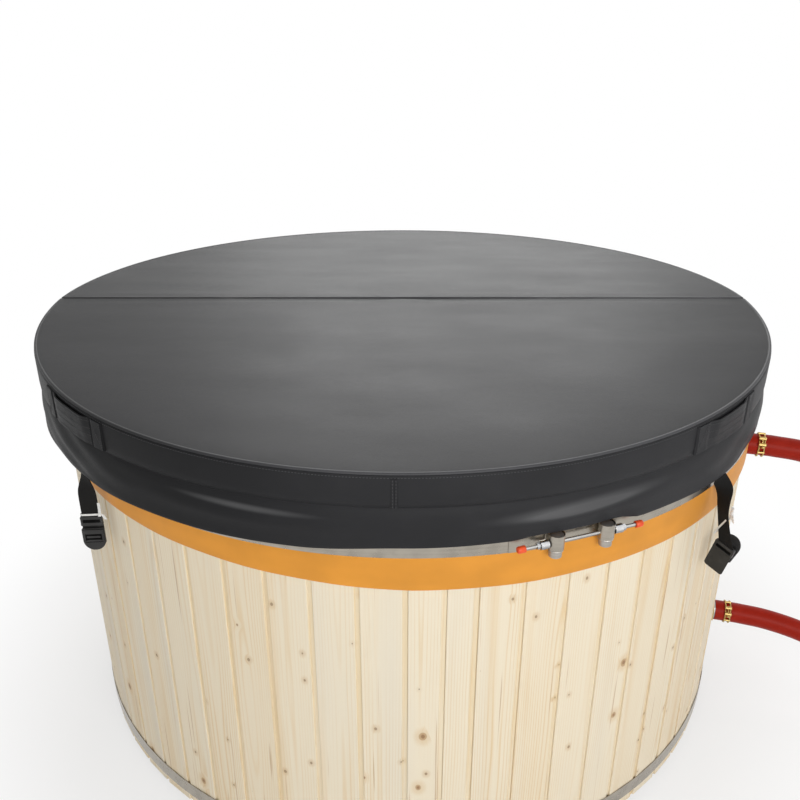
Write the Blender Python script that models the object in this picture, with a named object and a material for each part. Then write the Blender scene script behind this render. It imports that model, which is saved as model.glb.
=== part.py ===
"""Board-clad soaking tub with a folding insulated cover, a hoop tightener, a drain and two heater hoses."""

import math

import bmesh
import bpy
from mathutils import Matrix, Vector

# Lengths are metres and angles are degrees. Azimuth 0 is the front of the tub (-Y) and grows towards +X.

# General
FIT = 0.0003  # gap between pieces that touch
STEPS = 64  # flats round the moulded tub

# Base
BEARER_COUNT = 3
BEARER_WIDTH = 0.095
BEARER_HEIGHT = 0.070
BEARER_SPACING = 0.560
DECK_THICKNESS = 0.027

# Wall boards
WALL_RADIUS = 0.935  # to the flat outer face of a board
BOARD_COUNT = 60
PANEL_BOARDS = 10
BOARD_THICKNESS = 0.018
BOARD_BOTTOM = 0.020
BOARD_HEAD_GAP = 0.010
LIP_WIDTH = 0.011
LIP_DEPTH = 0.004
FIRST_SEAM = -0.36
CLOSING_BOARDS = (0.0772, 0.0650)

# Moulded tub
TUB_HEIGHT = 1.005
LINER_WALL = 0.006
WALL_GAP = 0.055  # boards' outer face to the basin's wall
BENCH_WIDTH = 0.380
BENCH_HEIGHT = 0.450
RIM_CURVE = 0.020
RIM_EDGE = 0.014
APRON_DEPTH = 0.1975  # rim to the apron's lower edge at the front
APRON_RISE = 0.040  # the trimmed edge climbs on the left

# Hoop and tightener
HOOP_DROP = 0.120  # rim to the hoop's lower edge
HOOP_WIDTH = 0.040
HOOP_THICKNESS = 0.0012
PIN_LEFT = 16.75
PIN_RIGHT = 23.4
PIN_RADIUS = 0.0145
PIN_BELOW = 0.014
PIN_SUNK = 0.004  # top of a pin below the hoop's upper edge
TAIL_LENGTH = 0.090
TAIL_BEND = 0.003
TONGUE_CLEAR = 0.008
ROD_RADIUS = 0.004
ROD_REACH = 0.078  # rod end from the pin centre
SPACER_START = 0.0172
SPACER_LENGTH = 0.018
SPACER_RADIUS = 0.0095
NUT_ACROSS = 0.013
NUT_LENGTH = 0.0068
CAP_RADIUS = 0.0072
CAP_LENGTH = 0.017
CAP_DEPTH = 0.012
LOWER_HOOP_BOTTOM = 0.045
LOWER_HOOP_WIDTH = 0.040

# Ports and hoses
PORT_AZIMUTH = 75.0
UPPER_PORT_DROP = 0.234  # rim to the upper port's middle
LOWER_PORT_Z = 0.211
PIPE_RADIUS = 0.025
PIPE_BORE = 0.020
FLANGE_RADIUS = 0.042
FLANGE_THICKNESS = 0.006
LOCK_NUT_ACROSS = 0.062
LOCK_NUT_LENGTH = 0.012
HOSE_RADIUS = 0.029
HOSE_LEAD = 0.060
CLAMP_AT = 0.034  # clamp middle from the hose end
CLAMP_WIDTH = 0.018
CLAMP_THICKNESS = 0.0035
CLAMP_FACING = (0.0, -0.8, 0.6)  # side of the hose that a clamp's screw is on
TAIL_PIECE_LENGTH = 0.070
HOSE_REST = 0.0346  # height of a hose's middle where it lies on the ground
# Route points after the straight lead: outwards from the boards' face, sideways, and the height above
# the resting height as a share of the port's
UPPER_ROUTE = (
    (0.165, 0.000, 0.990),
    (0.265, 0.006, 0.947),
    (0.356, 0.022, 0.866),
    (0.430, 0.052, 0.748),
    (0.482, 0.098, 0.605),
    (0.513, 0.160, 0.453),
    (0.529, 0.238, 0.304),
    (0.535, 0.332, 0.171),
    (0.533, 0.440, 0.066),
    (0.527, 0.555, 0.011),
    (0.520, 0.655, 0.000),
)
LOWER_ROUTE = (
    (0.165, -0.001, 0.966),
    (0.265, -0.008, 0.859),
    (0.365, -0.024, 0.666),
    (0.465, -0.049, 0.440),
    (0.565, -0.084, 0.219),
    (0.655, -0.126, 0.061),
    (0.735, -0.170, 0.000),
)
ROUTE_SPACING = 0.110

# Drain
DRAIN_AZIMUTH = 180.0
DRAIN_Z = 0.180
DRAIN_RADIUS = 0.017
DRAIN_BORE = 0.012
DRAIN_FLANGE = 0.032
VALVE_RADIUS = 0.025
VALVE_LENGTH = 0.062
STEM_RADIUS = 0.007
STEM_HEIGHT = 0.038
DRAIN_LEVER_LENGTH = 0.105
DRAIN_LEVER_WIDTH = 0.018
DRAIN_LEVER_THICKNESS = 0.005

# Cover
COVER_OVERHANG = 0.030  # cover's edge past the boards' face
COVER_SHIFT = -0.015  # the cover lies slightly to the left of the tub
COVER_STEPS = 36
COVER_THICKNESS = 0.100  # rim to the top at the fold
RIDGE_RISE = 0.025
EDGE_ROUND = 0.010
CREASE_RISE = 0.001  # rim to the crease above it
CREASE_IN = 0.006
SKIRT_DROP = 0.081  # rim to the hem at the front
HEM_LIFT = 0.006  # over the pins
HEM_SAG = 0.013  # on the left
RIGHT_SAG = 0.009
RIGHT_SAG_AT = 40.0
RIGHT_SAG_SPREAD = 13.5
HEM_FLARE = 0.002
SKIRT_BULGE = 0.003
WAVE_DEPTH = 0.003
VINYL = 0.002
LINING = 0.0016
WELT_RADIUS = 0.005
HANDLE_START = 38.0
HANDLE_END = 53.0
HANDLE_PATCH = 2.9
HANDLE_BOW = 0.016
HANDLE_THICKNESS = 0.003

# Straps and buckles
STRAP_WIDTH = 0.040
STRAP_THICKNESS = 0.0025
STRAP_GAP = 0.0008
LEFT_STRAP = -45.75
RIGHT_STRAP = 45.5
# Strap sections: drop below the hem, distance out from the hem, twist
LEFT_SECTIONS = (
    (0.000, 0.000, 0.0),
    (0.010, 0.0005, 8.0),
    (0.024, 0.002, 27.0),
    (0.040, 0.003, 45.0),
    (0.066, 0.003, 50.0),
    (0.099, 0.003, 50.0),
)
RIGHT_SECTIONS = (
    (0.000, 0.000, 0.0),
    (0.010, 0.003, -28.0),
    (0.026, 0.0095, -76.0),
    (0.048, 0.013, -108.0),
    (0.080, 0.0165, -118.0),
    (0.120, 0.026, -112.0),
    (0.160, 0.037, -96.0),
)
BUCKLE_WIDTH = 0.050
SIDE_INSET = 0.001  # base narrower than its lever on each side
FRAME_DROP = 0.024
FRAME_THICKNESS = 0.009
PLATE_DROP = 0.076
PLATE_THICKNESS = 0.004
LEVER_TOP = 0.030
LEVER_PIVOT = 0.034
LEVER_DROP = 0.0875
LEVER_THICKNESS = 0.0075
RIGHT_TILT = 15.0
RIGHT_OPEN = 145.0

HALF_STEP = math.radians(180.0 / STEPS)
BASIN_RADIUS = WALL_RADIUS - WALL_GAP
FOOTWELL_RADIUS = BASIN_RADIUS - BENCH_WIDTH
CLOSING_ANGLES = [2 * math.degrees(math.atan(w / 2 / WALL_RADIUS)) for w in CLOSING_BOARDS]
BOARD_ANGLE = (360.0 - sum(CLOSING_ANGLES)) / BOARD_COUNT
BOARD_CORNER = WALL_RADIUS / math.cos(math.radians(max(BOARD_ANGLE, *CLOSING_ANGLES) / 2))
APRON_IN = (BOARD_CORNER + FIT) / math.cos(HALF_STEP)
APRON_OUT = APRON_IN + LINER_WALL
APRON_FLAT = APRON_OUT * math.cos(HALF_STEP)
APRON_BOTTOM = TUB_HEIGHT - APRON_DEPTH
HOOP_BOTTOM = TUB_HEIGHT - HOOP_DROP
UPPER_PORT_Z = TUB_HEIGHT - UPPER_PORT_DROP
DECK_BOTTOM = BEARER_HEIGHT + FIT
DECK_TOP = DECK_BOTTOM + DECK_THICKNESS
HOOP_TOP = HOOP_BOTTOM + HOOP_WIDTH
ROD_Z = HOOP_BOTTOM + HOOP_WIDTH / 2
BAND_FLAT = APRON_FLAT + FIT + HOOP_THICKNESS / 2
LOOP_RADIUS = (PIN_RADIUS + FIT + HOOP_THICKNESS / 2) / math.cos(math.radians(11.25))
PORT_END = BOARD_CORNER + FIT + LOCK_NUT_LENGTH + 0.004
COVER_RADIUS = WALL_RADIUS + COVER_OVERHANG
RIDGE_Z = TUB_HEIGHT + COVER_THICKNESS
CREASE_Z = TUB_HEIGHT + CREASE_RISE
HEM_Z = TUB_HEIGHT - SKIRT_DROP
HALF_GAP = WELT_RADIUS + FIT
FOLD_Z = RIDGE_Z + 0.0005


class Pivot:
    """An empty on a joint axis, or at the middle of a fixed group, that carries its pieces."""

    def __init__(self, name, at, parent=None):
        self.at = Vector(at)
        self.empty = bpy.data.objects.new(name, None)
        self.empty.empty_display_size = 0.05
        bpy.context.scene.collection.objects.link(self.empty)
        self.empty.location = self.at
        if parent is not None:
            self.empty.parent = parent.empty
            self.empty.location = self.at - parent.at


def paint(name, colour, roughness, metallic=0.0):
    """A plain Principled material."""
    made = bpy.data.materials.new(name)
    made.use_nodes = True
    shader = made.node_tree.nodes["Principled BSDF"]
    shader.inputs["Base Color"].default_value = (*colour, 1.0)
    shader.inputs["Roughness"].default_value = roughness
    shader.inputs["Metallic"].default_value = metallic
    return made


def radial(azimuth):
    """Unit vector away from the tub's axis."""
    turn = math.radians(azimuth)
    return Vector((math.sin(turn), -math.cos(turn), 0.0))


def tangent(azimuth):
    """Unit vector towards growing azimuth."""
    turn = math.radians(azimuth)
    return Vector((math.cos(turn), math.sin(turn), 0.0))


def polar(radius, azimuth, z):
    """A point by distance from the axis, azimuth and height."""
    point = radial(azimuth) * radius
    point.z = z
    return point


def aim(origin, direction):
    """A frame at the origin whose Z runs along the direction."""
    turn = Vector(direction).to_track_quat("Z", "Y").to_matrix().to_4x4()
    return Matrix.Translation(Vector(origin)) @ turn


def arc(across, up, radius, start, end, steps=2):
    """Points of an arc in a profile."""
    turns = [math.radians(start + (end - start) * k / steps) for k in range(steps + 1)]
    return [(across + radius * math.cos(t), up + radius * math.sin(t)) for t in turns]


def blend(value):
    """A smooth step from 0 to 1."""
    value = min(1.0, max(0.0, value))
    return value * value * (3.0 - 2.0 * value)


def skin(loops, wrap=False):
    """A closed mesh through loops of equal length, capped at both ends unless it wraps round."""
    mesh = bmesh.new()
    rows = [[mesh.verts.new(point) for point in loop] for loop in loops]
    pairs = list(zip(rows, rows[1:]))
    if wrap:
        pairs.append((rows[-1], rows[0]))
    for low, high in pairs:
        for i in range(len(low)):
            j = (i + 1) % len(low)
            mesh.faces.new((low[i], low[j], high[j], high[i]))
    if not wrap:
        mesh.faces.new(list(reversed(rows[0])))
        mesh.faces.new(rows[-1])
    bmesh.ops.recalc_face_normals(mesh, faces=mesh.faces[:])
    return mesh


def six_flats(across):
    """Radius of a hexagon at an angle."""

    def radius(angle):
        return across / 2 / math.cos(math.radians((angle + 30.0) % 60.0 - 30.0))

    return radius


def turned(profile, steps=24, wrap=False):
    """A turned solid about Z from (radius, z) points; a radius may be a function of the angle."""
    loops = []
    for radius, z in profile:
        loop = []
        for k in range(steps):
            angle = 360.0 * k / steps
            size = radius(angle) if callable(radius) else radius
            turn = math.radians(angle)
            loop.append(Vector((size * math.cos(turn), size * math.sin(turn), z)))
        loops.append(loop)
    return skin(loops, wrap)


def rod(radius, start, end, steps=24):
    """A plain cylinder along Z."""
    return turned([(radius, start), (radius, end)], steps)


def sleeve(inner, outer, start, end, steps=24):
    """A tube along Z whose bore clears a rod of the inner radius."""
    bore = inner / math.cos(math.pi / steps)
    return turned([(bore, start), (outer, start), (outer, end), (bore, end)], steps, True)


def box(size, at=(0, 0, 0)):
    """A box centred on a point."""
    mesh = bmesh.new()
    bmesh.ops.create_cube(mesh, size=1.0)
    mesh.transform(Matrix.Translation(Vector(at)) @ Matrix.Diagonal((*size, 1.0)))
    return mesh


def add(name, mesh, material, pivot):
    """A named object made from a mesh in world space, carried by a pivot."""
    bmesh.ops.translate(mesh, verts=mesh.verts[:], vec=-pivot.at)
    data = bpy.data.meshes.new(name)
    mesh.to_mesh(data)
    mesh.free()
    data.materials.append(material)
    data.shade_smooth()
    data.set_sharp_from_angle(angle=math.radians(32.0))
    made = bpy.data.objects.new(name, data)
    bpy.context.scene.collection.objects.link(made)
    made.parent = pivot.empty
    return made


def tool(name, mesh, material, pivot):
    """A hidden solid for a Boolean."""
    made = add(name, mesh, material, pivot)
    made.hide_render = True
    made.display_type = "WIRE"
    return made


def combine(target, other, operation="DIFFERENCE"):
    """Cut the other solid from the target, or join it on."""
    step = target.modifiers.new(operation.title() + " " + other.name, "BOOLEAN")
    step.operation = operation
    step.solver = "EXACT"
    step.object = other


def flat_mid(azimuth):
    """Middle azimuth of the flat of the moulded tub at an azimuth."""
    step = 360.0 / STEPS
    return (math.floor(azimuth / step) + 0.5) * step


def on_flat(distance, azimuth, z=0.0):
    """A point on a flat, given the flat's own distance from the axis."""
    return polar(distance / math.cos(math.radians(azimuth - flat_mid(azimuth))), azimuth, z)


def grid_between(low, high):
    """Azimuths of the moulded tub's corners between two azimuths."""
    step = 360.0 / STEPS
    first = math.floor(low / step) + 1
    last = math.ceil(high / step)
    return [k * step for k in range(first, last)]


def make_base(tub, timber):
    """Bearers on the ground and the round deck on them."""
    limit = WALL_RADIUS - BOARD_THICKNESS - 0.012
    for k in range(BEARER_COUNT):
        x = (k - (BEARER_COUNT - 1) / 2) * BEARER_SPACING
        reach = math.sqrt(limit**2 - (abs(x) + BEARER_WIDTH / 2) ** 2)
        size = (BEARER_WIDTH, 2 * reach, BEARER_HEIGHT)
        add(f"bearer_{k + 1}", box(size, (x, 0, BEARER_HEIGHT / 2)), timber, tub)
    radius = WALL_RADIUS - BOARD_THICKNESS - FIT
    add("deck", rod(radius, DECK_BOTTOM, DECK_TOP, STEPS), timber, tub)


def upright(inner, outer, low, high):
    """Profile of a plain ring."""
    return [(inner, low), (outer, low), (outer, high), (inner, high)]


def ring_round(name, profile, tub, plastic):
    """A piece of the moulded tub: a closed profile carried round the axis."""
    loops = []
    for radius, z in profile:
        loop = []
        for k in range(STEPS):
            azimuth = 360.0 * k / STEPS
            lift = APRON_RISE * max(0.0, -math.sin(math.radians(azimuth))) if z == APRON_BOTTOM else 0.0
            loop.append(polar(radius, azimuth, z + lift))
        loops.append(loop)
    return add(name, skin(loops, True), plastic, tub)


def make_liner(tub, plastic):
    """The plastic tub, welded from a floor, footwell, bench, basin wall and a moulded rim with its apron."""
    wall = LINER_WALL
    low = DECK_TOP + FIT
    floor = low + wall
    foot = FOOTWELL_RADIUS
    basin = BASIN_RADIUS
    rim = TUB_HEIGHT
    loops = [[polar(foot + wall, 360.0 * k / STEPS, z) for k in range(STEPS)] for z in (low, floor)]
    add("tub_floor", skin(loops), plastic, tub)
    under = BENCH_HEIGHT - wall
    ends = (floor + FIT, under - FIT)
    footwell = ring_round("tub_footwell", upright(foot, foot + wall, *ends), tub, plastic)
    ring_round("tub_bench", upright(foot, basin + wall, under, BENCH_HEIGHT), tub, plastic)
    ends = (BENCH_HEIGHT + FIT, rim - RIM_CURVE - FIT)
    side = ring_round("tub_wall", upright(basin, basin + wall, *ends), tub, plastic)
    profile = arc(basin + RIM_CURVE, rim - RIM_CURVE, RIM_CURVE, 180, 90)
    profile += arc(APRON_OUT - RIM_EDGE, rim - RIM_EDGE, RIM_EDGE, 90, 0)
    profile += [(APRON_OUT, APRON_BOTTOM), (APRON_IN, APRON_BOTTOM)]
    profile += arc(APRON_OUT - RIM_EDGE, rim - RIM_EDGE, RIM_EDGE - wall, 0, 90, 1)
    profile += arc(basin + RIM_CURVE, rim - RIM_CURVE, RIM_CURVE - wall, 90, 180, 1)
    ring_round("tub_rim", profile, tub, plastic)
    return footwell, side


def board_run(seams):
    """Outline of neighbouring boards between seam azimuths, stepped at each seam."""
    slack = math.degrees(FIT / 2 / WALL_RADIUS)
    lip = math.degrees(LIP_WIDTH / WALL_RADIUS)
    outer = []
    inner = []
    for k in range(len(seams) - 1):
        left = seams[k] + (slack if k == 0 else 0.0)
        right = seams[k + 1] - (slack if k == len(seams) - 2 else 0.0)
        middle = (seams[k] + seams[k + 1]) / 2
        step = seams[k + 1] - lip

        def flat(distance, azimuth):
            return polar(distance / math.cos(math.radians(azimuth - middle)), azimuth, 0.0)

        outer.append(flat(WALL_RADIUS, left))
        outer.append(flat(WALL_RADIUS, step))
        outer.append(flat(WALL_RADIUS - LIP_DEPTH, step))
        outer.append(flat(WALL_RADIUS - LIP_DEPTH, right))
        if k == 0:
            inner.append(flat(WALL_RADIUS - BOARD_THICKNESS, left))
        inner.append(flat(WALL_RADIUS - BOARD_THICKNESS, right))
    return outer + list(reversed(inner))


def make_wall(tub, timber):
    """Board panels round the tub, and the two narrower boards that close the ring."""
    top = TUB_HEIGHT - LINER_WALL - BOARD_HEAD_GAP
    start = FIRST_SEAM
    closing = [start]
    for angle in CLOSING_ANGLES:
        start += angle
        closing.append(start)
    runs = [("closing_boards", closing)]
    done = 0
    while done < BOARD_COUNT:
        count = min(PANEL_BOARDS, BOARD_COUNT - done)
        seams = [start + BOARD_ANGLE * (done + k) for k in range(count + 1)]
        runs.append((f"wall_panel_{len(runs):02d}", seams))
        done += count
    panels = []
    for name, seams in runs:
        outline = board_run(seams)
        loops = []
        for z in (BOARD_BOTTOM, top):
            loops.append([Vector((p.x, p.y, z)) for p in outline])
        panels.append((add(name, skin(loops), timber, tub), seams[0], seams[-1]))
    return panels


def sweep(path, thickness, low, high, wrap=False):
    """A flat strip standing along a path on the ground plan."""
    count = len(path)
    loops = []
    for k in range(count):
        before = path[k - 1] if k > 0 or wrap else None
        after = path[(k + 1) % count] if k < count - 1 or wrap else None
        sides = []
        if before is not None:
            sides.append((path[k] - before).normalized())
        if after is not None:
            sides.append((after - path[k]).normalized())
        normals = [Vector((s.y, -s.x, 0.0)) for s in sides]
        mitre = sum(normals, Vector((0, 0, 0))).normalized()
        mitre *= thickness / 2 / mitre.dot(normals[0])
        a = path[k] - mitre
        b = path[k] + mitre
        loops.append(
            [
                Vector((a.x, a.y, low)),
                Vector((b.x, b.y, low)),
                Vector((b.x, b.y, high)),
                Vector((a.x, a.y, high)),
            ]
        )
    return skin(loops, wrap)


def lug_point(azimuth, across, out):
    """A point near a pin: along the flat and away from the band's middle."""
    middle = flat_mid(azimuth)
    return on_flat(BAND_FLAT, azimuth) + tangent(middle) * across + radial(middle) * out


def make_hoop(tub, steel):
    """The upper hoop: each end passes under its pin, loops over it and lies back on the band."""
    lie = HOOP_THICKNESS + FIT
    tail = math.degrees(TAIL_LENGTH / BAND_FLAT)
    bend = LOOP_RADIUS + TAIL_BEND
    path = []
    start = PIN_LEFT - tail
    near = PIN_LEFT - math.degrees(bend / BAND_FLAT)
    for azimuth in [start] + grid_between(start, near):
        path.append(on_flat(BAND_FLAT + lie, azimuth))
    for u, v in arc(-bend, lie + TAIL_BEND, TAIL_BEND, -90, 0, 2):
        path.append(lug_point(PIN_LEFT, u, v))
    for u, v in arc(0.0, LOOP_RADIUS, LOOP_RADIUS, 180, -90, 12):
        path.append(lug_point(PIN_LEFT, u, v))
    for azimuth in reversed(grid_between(PIN_RIGHT - 360.0, PIN_LEFT)):
        path.append(on_flat(BAND_FLAT, azimuth))
    for u, v in arc(0.0, LOOP_RADIUS, LOOP_RADIUS, -90, -360, 12):
        path.append(lug_point(PIN_RIGHT, u, v))
    for u, v in arc(bend, lie + TAIL_BEND, TAIL_BEND, 180, 270, 2):
        path.append(lug_point(PIN_RIGHT, u, v))
    near = PIN_RIGHT + math.degrees(bend / BAND_FLAT)
    end = PIN_RIGHT + tail
    for azimuth in grid_between(near, end) + [end]:
        path.append(on_flat(BAND_FLAT + lie, azimuth))
    hoop = add("upper_hoop", sweep(path, HOOP_THICKNESS, HOOP_BOTTOM, HOOP_TOP), steel, tub)
    path = [lug_point(PIN_LEFT, TONGUE_CLEAR, 0.0)]
    for azimuth in grid_between(PIN_LEFT + 0.6, PIN_RIGHT - 0.6):
        path.append(on_flat(BAND_FLAT, azimuth))
    path.append(lug_point(PIN_RIGHT, -TONGUE_CLEAR, 0.0))
    strip = sweep(path, HOOP_THICKNESS, HOOP_BOTTOM + 0.003, HOOP_TOP - 0.003)
    add("hoop_tongue", strip, steel, tub)
    return hoop


def make_tightener(tub, hoop, steel, chrome, red):
    """Two pins in the hoop's loops, drawn together by a threaded rod."""
    left = lug_point(PIN_LEFT, 0.0, LOOP_RADIUS)
    right = lug_point(PIN_RIGHT, 0.0, LOOP_RADIUS)
    left.z = ROD_Z
    right.z = ROD_Z
    along = (right - left).normalized()
    span = (right - left).length
    frame = aim(left, along)

    def along_rod(mesh):
        mesh.transform(frame)
        return mesh

    reach = LOOP_RADIUS + 0.006
    slot = tool("slot_tool", along_rod(rod(ROD_RADIUS + 0.001, -reach, span + reach)), steel, tub)
    bore = tool("bore_tool", along_rod(rod(ROD_RADIUS + 2 * FIT, -reach, span + reach)), steel, tub)
    combine(hoop, slot)
    for name, at in (("pin_left", left), ("pin_right", right)):
        pin = rod(PIN_RADIUS, HOOP_BOTTOM - PIN_BELOW, HOOP_TOP - PIN_SUNK)
        bmesh.ops.translate(pin, verts=pin.verts[:], vec=(at.x, at.y, 0.0))
        combine(add(name, pin, steel, tub), bore)
    add("tension_rod", along_rod(rod(ROD_RADIUS, -ROD_REACH, span + ROD_REACH, 12)), steel, tub)
    nut_start = SPACER_START + SPACER_LENGTH + FIT
    cap_start = ROD_REACH + FIT - CAP_DEPTH
    bore_radius = (ROD_RADIUS + FIT) / math.cos(math.pi / 24)
    for side, origin, way in (("left", left, -along), ("right", right, along)):
        frame = aim(origin, way)
        ends = (SPACER_START, SPACER_START + SPACER_LENGTH)
        add("spacer_" + side, along_rod(sleeve(ROD_RADIUS + FIT, SPACER_RADIUS, *ends)), chrome, tub)
        flats = six_flats(NUT_ACROSS)
        nut_end = nut_start + NUT_LENGTH
        profile = [(bore_radius, nut_start), (flats, nut_start), (flats, nut_end), (bore_radius, nut_end)]
        add("nut_" + side, along_rod(turned(profile, 24, True)), chrome, tub)
        cap_end = cap_start + CAP_LENGTH
        profile = [(bore_radius, ROD_REACH + FIT), (bore_radius, cap_start)]
        profile += [(CAP_RADIUS, cap_start), (CAP_RADIUS, cap_end - 0.002), (CAP_RADIUS - 0.002, cap_end)]
        add("cap_" + side, along_rod(turned(profile)), red, tub)


def make_lower_hoop(tub, steel):
    """A plain closed hoop round the board feet."""
    distance = BOARD_CORNER + FIT + HOOP_THICKNESS / 2
    seams = [FIRST_SEAM]
    for angle in CLOSING_ANGLES + [BOARD_ANGLE] * (BOARD_COUNT - 1):
        seams.append(seams[-1] + angle)
    path = [polar(distance, azimuth, 0.0) for azimuth in seams]
    high = LOWER_HOOP_BOTTOM + LOWER_HOOP_WIDTH
    add("lower_hoop", sweep(path, HOOP_THICKNESS, LOWER_HOOP_BOTTOM, high, True), steel, tub)


def seat_in(wall_radius, flange):
    """Distance from the axis of a flange's back face inside a round wall."""
    return math.sqrt((wall_radius * math.cos(HALF_STEP)) ** 2 - flange**2) - FIT


def bore_wall(name, azimuth, z, radius, liner, panels, material, tub, start):
    """A straight hole through the liner and through the boards at an azimuth."""
    clear = (radius + FIT) / math.cos(math.pi / 24)
    mesh = rod(clear, start, WALL_RADIUS + 0.06)
    mesh.transform(aim((0, 0, z), radial(azimuth)))
    drill = tool(name, mesh, material, tub)
    combine(liner, drill)
    margin = math.degrees(clear / WALL_RADIUS) + 0.1
    for panel, low, high in panels:
        for turn in (-360.0, 0.0, 360.0):
            if low - margin < azimuth + turn < high + margin:
                combine(panel, drill)


def make_port(name, z, wall_radius, liner, panels, tub, brass, steel):
    """A flanged pipe from inside the tub to the hose, held by a lock nut."""
    seat = seat_in(wall_radius, FLANGE_RADIUS)
    frame = aim((0, 0, z), radial(PORT_AZIMUTH))
    inner = seat - FLANGE_THICKNESS
    profile = [(PIPE_BORE, inner), (FLANGE_RADIUS, inner), (FLANGE_RADIUS, seat), (PIPE_RADIUS, seat)]
    profile += [(PIPE_RADIUS, PORT_END), (PIPE_BORE, PORT_END)]
    mesh = turned(profile, 24, True)
    mesh.transform(frame)
    add(name + "_pipe", mesh, steel, tub)
    bore = (PIPE_RADIUS + FIT) / math.cos(math.pi / 24)
    flats = six_flats(LOCK_NUT_ACROSS)
    start = BOARD_CORNER + FIT
    end = start + LOCK_NUT_LENGTH
    mesh = turned([(bore, start), (flats, start), (flats, end), (bore, end)], 24, True)
    mesh.transform(frame)
    add(name + "_lock_nut", mesh, brass, tub)
    bore_wall(name + "_drill", PORT_AZIMUTH, z, PIPE_RADIUS, liner, panels, steel, tub, wall_radius - 0.05)


def smooth_route(points, spacing):
    """Points at even spacing on a smooth curve through chosen points."""
    chosen = [points[0] * 2 - points[1]] + list(points) + [points[-1] * 2 - points[-2]]
    fine = []
    for k in range(1, len(chosen) - 2):
        a, b, c, d = chosen[k - 1 : k + 3]
        for j in range(20):
            t = j / 20
            bend = (a * 2 - b * 5 + c * 4 - d) * t**2 + (b * 3 - a - c * 3 + d) * t**3
            fine.append((b * 2 + (c - a) * t + bend) / 2)
    fine.append(points[-1].copy())
    total = sum((q - p).length for p, q in zip(fine, fine[1:]))
    count = max(2, round(total / spacing))
    made = [fine[0]]
    gone = 0.0
    for p, q in zip(fine, fine[1:]):
        piece = (q - p).length
        while len(made) < count and gone + piece >= total * len(made) / count - 1e-9:
            made.append(p.lerp(q, (total * len(made) / count - gone) / piece))
        gone += piece
    made.append(fine[-1])
    return made


def hose_points(z, route):
    """World points of a hose from its port to its far end."""
    out = radial(PORT_AZIMUTH)
    side = tangent(PORT_AZIMUTH)
    start = polar(PORT_END + FIT, PORT_AZIMUTH, z)
    lead = start + out * HOSE_LEAD
    rise = z - HOSE_REST
    bends = [out * (WALL_RADIUS + r) + side * t + Vector((0, 0, HOSE_REST + rise * h)) for r, t, h in route]
    return [start] + smooth_route([lead] + bends, ROUTE_SPACING)


def make_clamp(name, at, along, tub, zinc):
    """A ring round a hose with its screw housing on top."""
    frame = aim(at, along)
    outer = HOSE_RADIUS + FIT + CLAMP_THICKNESS
    half = CLAMP_WIDTH / 2
    ring = sleeve(HOSE_RADIUS + FIT, outer, -half, half)
    ring.transform(frame)
    clamp = add(name, ring, zinc, tub)
    block = box((0.016, 0.026, CLAMP_WIDTH - 0.001))
    up = frame.to_3x3().inverted() @ Vector(CLAMP_FACING)
    up.z = 0.0
    up.normalize()
    turn = Matrix.Rotation(math.atan2(up.y, up.x), 4, "Z")
    block.transform(frame @ turn @ Matrix.Translation((outer + 0.0065, 0, 0)))
    combine(clamp, tool(name + "_block", block, zinc, tub), "UNION")


def make_hose(name, z, route, tub, rubber, zinc, steel):
    """A hose with a clamp at each end and a connector at the far end."""
    points = hose_points(z, route)
    curve = bpy.data.curves.new(name, "CURVE")
    curve.dimensions = "3D"
    curve.bevel_depth = HOSE_RADIUS
    curve.bevel_resolution = 3
    curve.use_fill_caps = True
    spline = curve.splines.new("POLY")
    spline.points.add(len(points) - 1)
    for k, point in enumerate(points):
        spline.points[k].co = (*(point - tub.at), 1.0)
    curve.materials.append(rubber)
    hose = bpy.data.objects.new(name, curve)
    bpy.context.scene.collection.objects.link(hose)
    hose.parent = tub.empty
    out = (points[1] - points[0]).normalized()
    make_clamp(name + "_near_clamp", points[0] + out * CLAMP_AT, out, tub, zinc)
    last = (points[-1] - points[-2]).normalized()
    make_clamp(name + "_far_clamp", points[-1] - last * CLAMP_AT, last, tub, zinc)
    end = TAIL_PIECE_LENGTH
    profile = [(PIPE_BORE, FIT), (0.033, FIT), (0.033, 0.014), (0.026, 0.018)]
    profile += [(0.026, end - 0.002), (0.0245, end), (PIPE_BORE, end)]
    piece = turned(profile, 24, True)
    piece.transform(aim(points[-1], last))
    add(name + "_connector", piece, steel, tub)


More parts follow.
